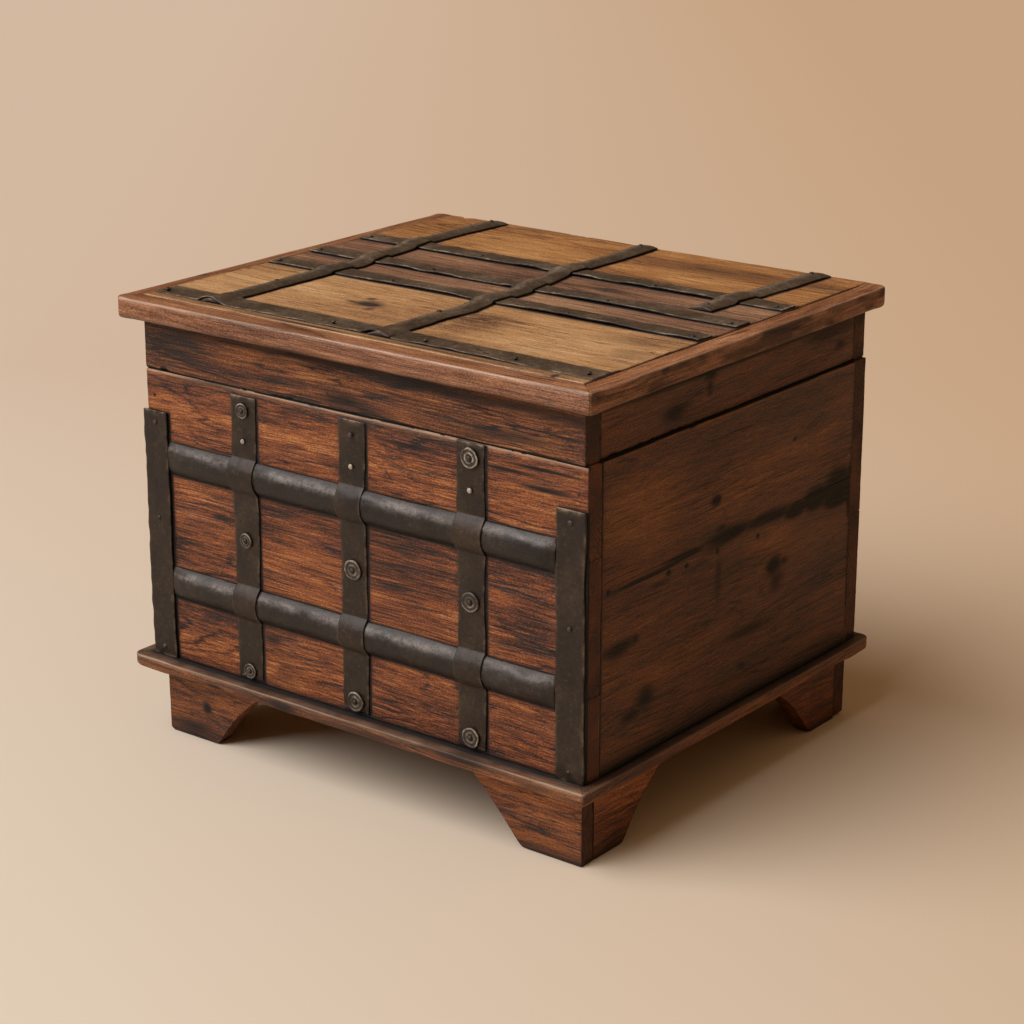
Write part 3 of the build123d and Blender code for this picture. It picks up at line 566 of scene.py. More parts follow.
FRONT_IRON = ("corner_strap_left", "front_strap_left", "front_strap_middle", "front_strap_right",
              "corner_strap_right", "front_band_lower", "front_band_upper")
LID_STRAPS = ("lid_strap_front", "lid_strap_second", "lid_strap_third", "lid_strap_fourth")


def front_grime(points):
    """Painted shadow on the shaded side of the straps, darker at the foot of the front, and dark wax on the end
    grain.
    """
    # Painted shadow beside the straps and bands, widest on their shaded side.
    beside = beside_boxes(points, [0, 2], FRONT_IRON, 1.1, (1.1, -0.7)) * (points[..., 1] < CARCASE_LOW[1] + 1.5 * MM)
    foot = fade(points[..., 2] - CARCASE_LOW[2], 2.6)
    ends = 0.42 * (points[..., 0] > CARCASE_HIGH[0] - 0.6 * MM)
    return np.maximum(held(1.15 * beside + 0.8 * foot), ends)


def foot_grime(points):
    """Darker towards the foot of a body board."""
    return 1.1 * fade(points[..., 2] - CARCASE_LOW[2], 8)


def lid_grime(points):
    """Painted shadow beside the lid's straps and in the gap at the right of each rib, and a dark line along the edge
    of the planks.
    """
    low, high = node_box("lid_plank_front", "lid_plank_back")
    edge = np.minimum(points[..., 0] - low[0], high[0] - points[..., 0])
    # Painted shadow beside the lid straps, widest on their shaded side.
    beside = beside_boxes(points, [0, 1], LID_STRAPS, 1.5, (0.4, -0.8))
    total = held(0.85 * beside + 0.5 * fade(np.maximum(edge, 0), 0.8))
    # Painted shadow: black in the gap at the right of each rib, fading away from it.
    for node in RIB_BENDS:
        low, high = node_box(node)
        beyond = points[..., 0] - rib_line(node, points[..., 1]) - RIB_WIDTH / 2
        gap = np.where(beyond > 0, fade(np.maximum(beyond, 0), 2.0, 2), beyond > -RIB_WIDTH / 2)
        total = np.maximum(total, gap * (points[..., 1] > low[1]) * (points[..., 1] < high[1]))
    return total


def rim_grime(points):
    """Painted shade along the right side of the rim, away from the light, with dark patches of dirt, and painted
    shade under its nose.
    """
    low, high = node_box("lid_rail_front", "lid_rail_right")
    # Painted shade on the right face, broken by noise into darker patches; painted shade under the nose.
    patches = held((points[..., 0] - high[0]) / (2 * MM) + 1) * np.clip(0.5 + cloudy(points, (9, 26, 9), 77), 0.1, 1)
    return np.maximum(0.8 * patches, 0.5 * fade(points[..., 2] - low[2], 2.5))


def on_base_top(points, below, depth):
    """How far points are onto the base frame's top, from some way below it, and to the right of the body."""
    above = points[..., 2] - node_box("base_rail_front")[1][2] + below * MM
    return held(above / (depth * MM)), held((points[..., 0] - CARCASE_HIGH[0]) / (2 * MM))


def base_grime(points):
    """Darker in the angle between body and base frame, less so on the right."""
    away = np.maximum(CARCASE_LOW - points, points - CARCASE_HIGH)[..., :2].max(-1)
    flat, right = on_base_top(points, 3, 2)
    return (0.9 - 0.35 * right) * flat * fade(away, 10, 2)


def base_dust(points):
    """Pale dust on the top of the frame, thinner on the right."""
    flat, right = on_base_top(points, 1.5, 1)
    return flat * (0.24 - 0.14 * right) * np.clip(1 + cloudy(points, 18, 91), 0.2, 2)


def sole_grime(points):
    """Darker towards the soles of the feet, and painted shadow on the feet just under the base frame."""
    top = node_box("foot_front_left_face")[1][2]
    # Painted shadow at the top of the feet, under the base frame's overhang.
    return 0.85 * fade(points[..., 2], 7) + 0.8 * fade(top - points[..., 2], 2.5)


# ---------------------------------------------------------------- boards
def worn_piece(node, box, material, grid, axes, signs, seed, relief, bright, grime=None, marks=NO_MARKS,
               mark_axes=(0, 2), end_stain=0.5, inward=False, close=False, dust=None):
    """Roughen a board's tube along its normals, give its points their grain, wear and stain, and show it.

    The axes run along, across and out of the board, and the signs say which way each is counted from the
    middle of the box. The height is noise stretched along the grain plus slower noise, less dents where
    a third noise is high. Grain puts the log's heart some way under the
    visible face and slightly out of line with the board, so the rings run out in arches. Each long edge
    is rubbed bright by its own share, fading over 1.1 mm; a large share also paints a highlight. The lid
    joint is painted black, as shadow in its gap, for some 3 mm below the face. Grime, painted shade and
    marks stay off a board's inner face. A close board is left smooth at its ends, so that a mitre shuts.
    """
    sizes = bpy.context.scene.chest_sizes
    chance = np.random.default_rng(seed)
    axes = list(axes)
    half_length, half_width, half_height = (box[1] - box[0])[axes] / 2
    u, x, y = np.moveaxis((grid - (box[0] + box[1]) / 2)[..., axes] * signs, -1, 0)
    shifted = grid[..., axes] + chance.uniform(0, 9, 3)
    swell, ridge = relief * sizes.wood_swell, relief * sizes.wood_relief
    height = swell * cloudy(shifted, (160, 55, 55), seed) + ridge * cloudy(shifted, (60, 4.5, 4.5), seed + 5)
    height -= 3 * ridge * held(cloudy(shifted, (14, 9, 9), seed + 9) - 0.7)
    if inward:
        height -= 1.3 * (swell + ridge)
    if close:
        height *= held((half_length - half_width * 2 - np.abs(u)) / (9 * MM) + 1)
    grid = grid + grid_normals(grid) * height[..., None]

    wear = dust(grid) if dust else np.zeros(u.shape)
    # Rubbed arrises; a large share, as on the front's top arris and the rims' lit sides, also paints a highlight.
    for share, (sx, sy) in zip(bright, CORNERS):
        away = np.hypot(np.maximum(half_width - sx * x, 0), np.maximum(half_height - sy * y, 0))
        wear = np.maximum(wear, share * fade(away, 1.1))
    heart_across, heart_deep = chance.uniform(-0.35, 0.35) * half_width * 2, chance.uniform(35, 70) * MM
    lean = chance.uniform(-0.05, 0.05)
    grain = np.stack([u + chance.uniform(2, 40), x - heart_across + 0.4 * lean * u,
                      y - half_height + heart_deep + lean * u], -1)

    above, deep = grid[..., 2] - CARCASE_HIGH[2], half_height - y
    # Painted shadow: the lid joint is black inside its arris gap, for some 3 mm below the face.
    joint = fade(np.abs(above), 2.4) * (deep > np.where(above > 0, 0.15, 0.55) * MM) * fade(deep, 3.2, 2)
    stain = np.maximum(end_stain * fade(np.maximum(half_length - np.abs(u), 0), 1.2), 2.2 * joint)
    seen = 1.0 if inward else deep < 1.8 * half_height
    # The board's own function adds its dirt, its darkening and its painted shade and shadow to the stain.
    if grime:
        stain = np.maximum(stain, seen * grime(grid))
    stain = np.maximum(stain, 1.45 * seen * marked(grid, mark_axes, marks[0], seed, axes[0]))
    shade = seen * marked(grid, mark_axes, marks[1], seed + 1, axes[0])
    grid[..., 2] = np.maximum(grid[..., 2], 0)
    show(node, "worn", wood(material), (grid, {"grain": grain, "wear": wear, "stain": stain, "shade": shade}))


FINE, COARSE = (1.5, 1.2), (3.2, 2.6)


def board(node, side, material, seed, arrises=None, bright=(0.15, 0.15, 0.1, 0.1), step=COARSE, relief=1.0, **dress):
    """A worn board in place of a node: a rounded section carried along the grain, its face to a side.

    Each arris radius wanders along the board and is bitten deeper where noise passes a threshold, which
    leaves chips.
    """
    sizes = bpy.context.scene.chest_sizes
    out_axis, sign = SIDES[side]
    grain_axis = 0 if out_axis else 1
    axes = (grain_axis, 3 - grain_axis - out_axis, out_axis)
    signs = np.array((1, 1, sign))
    low, high = node_box(node)
    centre, (total, width, height) = ((low + high) / 2)[list(axes)], (high - low)[list(axes)]
    u, inset = stations(total, step[0])
    radius = []
    for k, worn in enumerate(arrises or (sizes.board_arris,) * 4):
        rough = 1 + 0.35 * wander(u, 45, seed + 17 * k) + 2 * held(wander(u, 13, seed + 23 * k + 3) - 0.75)
        radius.append(np.clip(worn * rough, 0.3 * MM, 0.45 * min(width, height)))
    dense, thin = int(width / (step[1] * MM)), max(int(height / (3.2 * MM)), 3)
    section = rounded_section(width / 2 - inset, height / 2 - inset, np.stack(radius, -1),
                              (dense, thin, max(dense // 5, 4), thin))
    local = (u[:, None], section[..., 0], section[..., 1])
    grid = capped(in_axes(axes, *(c + s * value for c, s, value in zip(centre, signs, local))))
    worn_piece(node, (low, high), material, grid, axes, signs, seed, relief, bright, mark_axes=sorted(axes[:2]),
               **dress)


# ---------------------------------------------------------------- mitred frames
def squeezed_corners(grid, low, high, corners):
    """Round the plan corners of a frame, by one radius at the front right and another at the other three.

    Near a corner the square of points is drawn onto a circle: each point keeps its direction from the
    corner's centre, and its larger side distance becomes its radius.
    """
    middle = (low + high)[:2] / 2
    away = grid[..., :2] - middle
    front_right = (away[..., :1] > 0) & (away[..., 1:] < 0)
    reach = (high - low)[:2] / 2 - np.where(front_right, *corners) * MM
    over = np.abs(away) - reach
    inside = (over > 0).all(-1, keepdims=True)
    scale = over.max(-1, keepdims=True) / np.maximum(np.hypot(over[..., :1], over[..., 1:]), 1e-9)
    rounded = middle + np.sign(away) * (reach + over * scale)
    return np.concatenate([np.where(inside, rounded, grid[..., :2]), grid[..., 2:]], -1)


def mitred_frame(prefix, rub_and_highlight, material, noses, corners, seed, **dress):
    """Rails of a frame, mitred where they meet, with rounded outer edges and plan corners.

    Each rail's section is carried between ends that run from the frame's outer corner to its inner
    one. A frame without a back rail has side rails cut square there, with a rounded top edge. The rub
    and highlight table says how bright each side's top edge is rubbed and painted as highlight, most
    on the sides towards the light.
    """
    low, high = node_box(*[f"{prefix}_{side}" for side in rub_and_highlight])
    boxes = {side: node_box(f"{prefix}_{side}") for side in rub_and_highlight}
    widths = {side: (box[1] - box[0])[SIDES[side][0]] for side, box in boxes.items()}
    nose_top, nose_bottom = noses
    for number, (side, bright) in enumerate(rub_and_highlight.items()):
        across_axis, sign = SIDES[side]
        axes = (1 - across_axis, across_axis, 2)
        node_low, node_high = boxes[side]
        node_low[axes[0]], node_high[axes[0]] = low[axes[0]], high[axes[0]]
        total, width, thick = (node_high - node_low)[list(axes)]
        before, after = ("left", "right") if across_axis else ("front", "back")
        u = np.linspace(0, 1, int(total / (1.7 * MM)))
        inset = np.zeros(len(u))
        if after not in rub_and_highlight:
            u = np.concatenate([u[u < 1 - nose_top / total], 1 - nose_top / total * np.linspace(1, 0, 6) ** 2])
            inset = nose_top * (1 - np.sqrt(1 - held(1 - (1 - u) * total / nose_top) ** 2))
        radius = [worn * (1 + 0.22 * wander(u * total, 50, seed + number + 11 * k))
                  for k, worn in enumerate((nose_top, 0.4 * MM, 0.4 * MM, nose_bottom))]
        section = rounded_section(np.full(len(u), width / 2), thick / 2 - inset, np.stack(radius, -1),
                                  (max(int(width / (1.5 * MM)), 5), 4, 8, 7), arc=9)
        from_outer = width / 2 - section[..., 0]
        start = low[axes[0]] + from_outer / width * widths[before]
        finish = high[axes[0]] - from_outer / width * widths.get(after, 0.0)
        outer = (high if sign > 0 else low)[across_axis]
        grid = in_axes(axes, start + u[:, None] * (finish - start), outer - sign * from_outer,
                       (node_low[2] + node_high[2]) / 2 + section[..., 1])
        worn_piece(f"{prefix}_{side}", boxes[side], material, squeezed_corners(capped(grid), low, high, corners),
                   axes, (1, sign, 1), seed + 40 * number, 0.8, (bright, 0, 0, 0.2), end_stain=0.0, inward=True,
                   close=True, **dress)


# ---------------------------------------------------------------- bracket feet
def foot_board(node, side, outer_sign, seed, toe, hollow, corner_round=0):
    """A bracket foot board: its lower edge is flat at the toe and then climbs in a hollow cove to a lip.

    The lower edge is a soft maximum of the floor line and a parabola from toe to lip. A face board runs
    to the foot's outer corner, where its floor corner is rounded, and a side board starts behind it.
    Toe, hollow and corner round are in millimetres from the foot's outer corner.
    """
    out_axis, sign = SIDES[side]
    grain_axis = 1 - out_axis
    low, high = node_box(node)
    centre, size = (low + high) / 2, high - low
    total, height, thick = size[grain_axis], size[2], size[out_axis]
    toe, hollow, corner, lip_height, soft = np.array((toe, hollow, corner_round, 4, 1.6)) * MM
    offset = 0 if corner_round else thick
    u, inset = stations(total, 1.3)
    along = u + total / 2 + offset
    share = np.clip((along - toe) / (total + offset - toe), -1, 1)
    cove = (height - lip_height) * share + 4 * hollow * share * (1 - np.abs(share))
    floor = soft * np.logaddexp(0, cove / soft) - soft * np.logaddexp(0, -(height - lip_height) / soft)
    floor = np.clip(np.where(along < toe - 8 * MM, 0, floor), 0, height - lip_height)
    if corner_round:
        gap = np.clip(corner - along, 0, corner)
        floor = np.maximum(floor, corner - np.sqrt(corner**2 - gap**2))
    half_height = (height - floor) / 2
    radius = np.minimum(np.array([1.0, 0.8, 0.8, 1.0]) * MM, half_height[:, None] * 0.8)
    section = rounded_section(thick / 2 - inset, half_height - inset, radius, (5, 34, 5, 16))
    axes = (grain_axis, 2, out_axis)
    grid = in_axes(axes, centre[grain_axis] - outer_sign * u[:, None],
                   (height + floor)[:, None] / 2 + section[..., 1], centre[out_axis] + sign * section[..., 0])
    worn_piece(node, (low, high), "foot_teak", capped(grid), axes, (1, 1, sign), seed, 1.0, (0.1, 0.1, 0, 0),
               sole_grime, FOOT_MARKS, end_stain=0.55, inward=True)


# ---------------------------------------------------------------- straps
def bar_radius(width, rise):
    """Radius of the circle through a round segment's two feet and its crown."""
    return (width**2 / 4 + rise**2) / (2 * rise)


def crown(width, rise, count):
    """Points over a circle's segment from foot to foot: place across and height."""
    radius = bar_radius(width, rise)
    half_angle = np.arcsin(width / 2 / radius)
    angle = np.linspace(-half_angle, half_angle, count)
    return radius * np.sin(angle), radius * np.cos(angle) - (radius - rise)


def arch(places, centres, width, rise):
    """Height of a strap's underside: a soft maximum of the board and each round bar that it crosses."""
    soft, radius = 1.1 * MM, bar_radius(width, rise)
    height = np.zeros(places.shape)
    for centre in centres:
        under = np.clip(radius**2 - (places - centre) ** 2, 0, None)
        bar = np.where(np.abs(places - centre) < radius, np.sqrt(under) - (radius - rise), rise - radius)
        height = soft * np.logaddexp(height / soft, bar / soft)
    return height - soft * np.log(1 + len(centres))


def hammered(grid, depth, *patterns):
    """The grid moved along its normals by hammer marks: weighted cloudy patterns times a depth."""
    marks = sum(weight * cloudy(grid, *pattern) for weight, *pattern in patterns)
    return grid + grid_normals(grid) * (bpy.context.scene.chest_sizes.hammer_marks * depth * marks)[..., None]


def forged_strap(node, material, run, side, foot, thick, bars, seed, torn, lift=None):
    """A forged strap: a rounded section carried along an axis, on the wood and up over bars.

    The foot is where the wood's face lies, and bars holds the middles, width and rise of those it
    climbs. Its two edges wander apart and its face carries hammer marks, all from noise. The edge at
    share -1 is the one turned from the light: its side is painted black as shade, and its lip is rubbed
    where it has torn or lifted.
    """
    waver, corner = bpy.context.scene.chest_sizes.strap_waver, 0.8 * MM
    low, high = node_box(node)
    out_axis, sign = SIDES[side]
    along, away = np.eye(3)[run], sign * np.eye(3)[out_axis]
    across = np.cross(away, along)
    origin = (low + high) / 2 * np.abs(across) + foot * np.abs(away)
    half_width = np.abs((high - low) @ across) / 2
    ends = np.linspace(0, corner, 4)[:-1]
    middle = np.arange(low[run] + corner, high[run] - corner, 1.3 * MM)
    places = np.concatenate([low[run] + ends, middle, high[run] - ends[::-1]])
    under = arch(places, *bars) + 0.05 * MM
    tangent = np.stack([np.ones(len(places)), np.gradient(under, places)], -1)
    tangent /= np.linalg.norm(tangent, axis=-1, keepdims=True)
    end = np.minimum(places - places[0], places[-1] - places)
    inset = corner - np.sqrt(np.clip(corner**2 - np.clip(corner - end, 0, None) ** 2, 0, None))
    section = rounded_section(half_width - inset, thick / 2 - 0.4 * inset,
                              np.full((len(places), 4), min(0.6 * MM, thick * 0.28)), (20, 3, 6, 3), arc=3)
    share = section[..., 0] / half_width
    edge_high, edge_low = (waver * wander(places, 34, seed + k)[:, None] for k in (0, 7))
    x = section[..., 0] + np.where(share > 0, edge_high, edge_low) * np.abs(share)
    y = section[..., 1] + thick / 2
    rise = under[:, None] + tangent[:, :1] * y
    if lift:
        rise = rise + lift(places[:, None], share)
    ahead = places[:, None] - tangent[:, 1:] * y
    grid = capped(origin + ahead[..., None] * along + rise[..., None] * away + x[..., None] * across, (0.4, 0.8))
    share, up = (np.pad(value, ((2, 2), (0, 0)), mode="edge") for value in (share, y / thick))
    top = held((up - 0.4) / 0.5)
    grid = hammered(grid, top, (1, 10, seed + 3), (0.7, 38, seed + 4, 2))
    rag = np.clip(0.5 + 1.3 * cloudy(grid, 8, seed + 6), 0, 1.6)
    lip = np.maximum(fade((1 + share) * half_width, 0.9), 0.5 * fade((1 - share) * half_width, 0.9))
    tip = fade(np.pad(end, 2, mode="edge")[:, None], 1.3)
    # Painted shade: the side turned from the light is black.
    black = held((-share - 0.9) / 0.06) * held((0.8 - up) / 0.2)
    values = {"wear": rag * top * np.maximum(torn * lip, tip), "stain": np.maximum(black, held((0.2 - up) / 0.2))}
    show(node, "forged", iron(material), (grid, values))


def even_places(low, high):
    """Places 1.4 mm apart along a bar, the last one at its end."""
    places = np.arange(low, high, 1.4 * MM)
    places[-1] = high
    return places


def front_strap(node, crosses, seed):
    """A vertical strap on the front; the middle ones climb over both half-round bands."""
    bands = [node_box(f"front_band_{name}") for name in ("lower", "upper")]
    (_, outer, foot), (_, _, head) = bands[0]
    centres = [(low[2] + high[2]) / 2 for low, high in bands] if crosses else []
    face = CARCASE_LOW[1]
    forged_strap(node, "strap_iron", 2, "front", face, 2.5 * MM, (centres, head - foot, face - outer), seed, 0.4)


def front_band(node, seed):
    """A half-round band: a circle's segment carried across the front, dinted, its ends beaten flat."""
    low, high = node_box(node)
    rise, width, middle = high[1] - low[1], high[2] - low[2], (low[2] + high[2]) / 2
    aside, out = crown(width, rise, 30)
    aside = np.concatenate([aside, np.linspace(width / 2, -width / 2, 8)[1:-1]])
    out = np.concatenate([out, np.zeros(6)])
    places = even_places(low[0], high[0])[:, None]
    flat = 1 - 0.6 * fade(np.minimum(places - low[0], high[0] - places), 8, 2)
    waver = 0.6 * bpy.context.scene.chest_sizes.strap_waver * wander(places, 60, seed)
    grid = capped(in_axes((0, 1, 2), places, high[1] - out * flat, middle + aside + waver), (0.5,))
    proud = held((high[1] - grid[..., 1]) / rise * 2)
    grid = hammered(grid, 1.2 * proud, (1, (13, 7, 7), seed), (0.8, (40, 16, 16), seed + 4))
    up = (grid[..., 2] - middle) / (width / 2)
    # Painted highlight along the upper face, mottled, and painted shade on the lower face.
    highlight_mottle = np.clip(1 + cloudy(grid, (16, 5, 5), seed + 9), 0, 2)
    values = {"wear": 0.5 * np.exp(-(((up - 0.6) / 0.22) ** 2)) * highlight_mottle,
              "stain": np.clip((-up - 0.55) / 0.4, 0, 0.7)}
    show(node, "forged", iron("band_iron"), (grid, values))


# Bends of the lid's ribs, in millimetres: place towards the back, then shift to the right.
RIB_BENDS = {
    "lid_rib_left": ((-160, 0), (-50, 2), (-10, 6), (30, 0), (60, -2), (100, -5), (150, -4), (200, 0)),
    "lid_rib_middle": ((-150, 0), (-110, 1), (-75, 6), (-45, 2), (0, 6), (40, 0), (80, -5), (120, -2), (150, 1),
                       (200, 0)),
    "lid_rib_right": ((50, 0), (80, -1), (110, 2), (160, 2), (205, 0)),
}
RIB_WIDTH = 24 * MM


def rib_line(node, y):
    """Middle of a rib at places towards the back: a leaning line with a few bends.

    The two long ribs lean to the left, so their front ends are at the right side of their boxes.
    """
    low, high = node_box(node)
    inner = (low[0] + RIB_WIDTH / 2, high[0] - RIB_WIDTH / 2)
    front, back = inner if node == "lid_rib_right" else inner[::-1]
    share = (y - low[1]) / (high[1] - low[1])
    at, bend = np.array(RIB_BENDS[node]).T * MM
    return front + (back - front) * share + np.interp(y - CARCASE_MIDDLE[1], at, bend)


# Lifted parts of the lid straps' front edges, in millimetres: middle, half length, height.
LIFTS = {
    "lid_strap_front": ((-173, 9, 1.6), (-72, 10, 0.6), (-25, 22, 0.8), (2, 8, 2.2), (95, 52, 1.6)),
    "lid_strap_second": ((-60, 50, 1.1), (105, 62, 1.8), (205, 15, 0.8)),
    "lid_strap_third": ((-128, 20, 1.0), (-80, 16, 0.9), (-6, 9, 1.0), (95, 60, 1.3)),
    "lid_strap_fourth": ((-40, 14, 1.0), (20, 12, 0.8), (75, 16, 1.4), (120, 36, 1.6)),
}


def lid_strap(node, rib_nodes, seed):
    """A thin flat strap across the lid, wavy, its front edge lifted in places; it arches over ribs."""
    low, high = node_box(node)
    centres = [rib_line(rib, (low[1] + high[1]) / 2) for rib in rib_nodes]

    def lift(run, share):
        """The front edge curls up over each lifted part, most at the very edge."""
        curl = np.zeros(run.shape)
        for middle, reach, height in LIFTS[node]:
            curl = np.maximum(curl, height * MM * fade(run - CARCASE_MIDDLE[0] - middle * MM, reach, 4))
        return curl * held((-share - 0.1) / 0.9) ** 1.5 * (1 + 0.15 * wander(run, 14, seed + 2))

    forged_strap(node, "dusty_iron", 0, "top", LID_TOP, 1.7 * MM, (centres, RIB_WIDTH, 3.6 * MM), seed, 0.6, lift)


def lid_rib(node, strap_nodes, seed):
    """A crowned rib down the lid: a circle's segment carried over the flat straps with soft humps.

    Its right edge stands off the planks, and that side is painted black as shade; its back end is beaten flat.
    """
    waver = bpy.context.scene.chest_sizes.strap_waver
    low, high = node_box(node)
    rise, strap_thick, soft = 3.4 * MM, 1.9 * MM, 3.0 * MM
    aside, up = crown(RIB_WIDTH, rise, 22)
    up = np.concatenate([up + 1.3 * MM * (aside / RIB_WIDTH + 0.5) ** 2, np.zeros(6)])
    aside = np.concatenate([aside, np.linspace(RIB_WIDTH / 2 - 0.4 * MM, -RIB_WIDTH / 2, 7)[:-1]])
    places = even_places(low[1], high[1])[:, None]
    hump = np.zeros(places.shape)
    for strap in strap_nodes:
        strap_low, strap_high = node_box(strap)
        inside = np.minimum(places - strap_low[1] + soft, strap_high[1] + soft - places) / soft
        hump = np.maximum(hump, strap_thick / (1 + np.exp(-3 * inside)))
    flat = 1 - 0.45 * fade(high[1] - places, 9, 2)
    edges = np.where(aside > 0, wander(places, 26, seed), wander(places, 26, seed + 6))
    share = aside / (RIB_WIDTH / 2)
    grid = capped(in_axes((0, 1, 2), rib_line(node, places) + aside + edges * np.abs(share) * waver, places,
                          LID_TOP + hump + up * flat), (0.5,))
    proud = held((grid[..., 2] - LID_TOP) / rise)
    grid = hammered(grid, 1.1 * proud, (1, (9, 14, 9), seed + 2), (0.6, 30, seed + 3, 2))
    across = np.ones((len(grid), 1))
    # Painted shade: the right side is black; the underside is black too.
    values = {"wear": 0.3 * held(1 - np.abs(share + 0.2) / 0.5) * across,
              "stain": ((share > 0.97) | (up == 0)) * across}
    show(node, "forged", iron("dusty_iron"), (grid, values))


# ---------------------------------------------------------------- rosettes and nails
def solids_of(node, reach):
    """Boxes of the separate solids in a node, by gathering its points within a reach of each other."""
    mesh = frame["nodes"][node].data
    points = np.empty(len(mesh.vertices) * 3)
    mesh.vertices.foreach_get("co", points)
    points = points.reshape(-1, 3)
    found = []
    while len(points):
        near = np.linalg.norm(points - points[0], axis=1) < reach
        found.append((points[near].min(0), points[near].max(0)))
        points = points[~near]
    return found


def turned(profile, centre, away, sectors, seed, ragged):
    """A hand-made round: a profile of radius and height turned about an axis, its radius made uneven."""
    away = np.array(away, float)
    side = np.array([0, 0, 1.0]) if abs(away[2]) < 0.5 else np.array([1.0, 0, 0])
    turn = np.linspace(0, 2 * pi, sectors, endpoint=False)[:, None]
    ring = np.cos(turn) * side + np.sin(turn) * np.cross(away, side)
    radius, height = np.array(profile, float).T * MM
    uneven = 1 + ragged * cloudy((ring * 1.7 + seed * 3.1) * MM, 1, seed, 2)
    return centre + radius[:, None, None] * uneven[None, :, None] * ring + height[:, None, None] * away


def head_place(low, high):
    """Where a fastener's head sits and which way it faces, from its box."""
    head, away = (low + high) / 2, np.zeros(3)
    if low[1] < CARCASE_LOW[1] - 0.5 * MM:
        axis, sign = SIDES["front"]
    elif high[1] > CARCASE_HIGH[1] + 0.5 * MM and high[2] < node_box("lid_skirt_back")[1][2]:
        axis, sign = SIDES["back"]
    else:
        axis, sign = SIDES["top"]
    head[axis], away[axis] = (high if sign > 0 else low)[axis], sign
    return head, away


# Fasteners of the front that are rubbed bright, in millimetres from the middle of the carcase: x and height.
BRIGHT_NAILS = ((-119, 284), (-1, 285), (118, 288))
TORN_ROSETTES = ((116, 311),)


def beside_any(head, away, places):
    """Whether a fastener's head is on the front and lies within 9 mm of one of the places."""
    return away[1] < 0 and np.hypot(*(((head - CARCASE_MIDDLE) / MM)[[0, 2]] - np.array(places)).T).min() < 9


def nail_heads(node, seed):
    """Forged nails: low domed heads, each a little different, on short shanks. A few are rubbed bright."""
    chance = np.random.default_rng(seed)
    tubes = []
    for number, solid in enumerate(solids_of(node, 19 * MM)):
        head, away = head_place(*solid)
        big = chance.uniform(0.62, 0.8)
        profile = [(1.2, -12), (1.2, -1.6), (2.9 * big, -1.4), (3.1 * big, -1.0), (2.6 * big, -0.45),
                   (1.7 * big, -0.08), (0.6 * big, 0)]
        grid = turned(profile, head, away, 14, seed + number, 0.12)
        rubbed = chance.uniform(0.0, 0.15)
        bright = beside_any(head, away, BRIGHT_NAILS)
        wear, stain = (np.full(grid.shape[:2], value) for value in ((2.0, 0.0) if bright else (rubbed, 0.45)))
        stain[:3] = 1.0
        tubes.append((grid, {"wear": wear, "stain": stain}))
    show(node, "forged", iron("rosette_iron"), *tubes)


def rosettes(node, seed):
    """Dished rosette washers: two low raised rings round a sunken seat, ragged by the punch."""
    profile = np.array([(8.3, -1.9), (8.6, -1.75), (8.5, -1.4), (8.1, -0.9), (7.6, -0.7), (7.1, -0.8), (6.3, -1.15),
                        (5.5, -1.2), (4.7, -0.9), (4.1, -0.75), (3.5, -0.9), (2.8, -1.2), (1.0, -1.1)])
    rings = sum(share * np.exp(-(((profile[:, 0] - at) / 0.5) ** 2)) for share, at in ((1, 7.8), (0.6, 4.1)))
    tubes = []
    for number, (low, high) in enumerate(solids_of(node, 18.5 * MM)):
        head, away = head_place(low, high)
        scale = (high[0] - low[0]) / (17.2 * MM)
        grid = turned(profile * (scale, 1), head, away, 30, seed + number, 0.06)
        rag = np.clip(0.7 + 1.1 * cloudy(grid, 5, seed + 50 + number), 0, 1.6)
        stain = np.zeros(grid.shape[:2])
        stain[:2], stain[6:8] = 1.0, 0.35
        wear = rag * rings[:, None] * (1.8 if beside_any(head, away, TORN_ROSETTES) else 0.75)
        tubes.append((grid, {"wear": wear, "stain": stain}))
    show(node, "forged", iron("rosette_iron"), *tubes)


def repaint(material, *nodes):
    """Give frame nodes that keep their own mesh a finish of the scene."""
    for node in nodes:
        slots = frame["nodes"][node].data.materials
        slots.clear()
        slots.append(material)


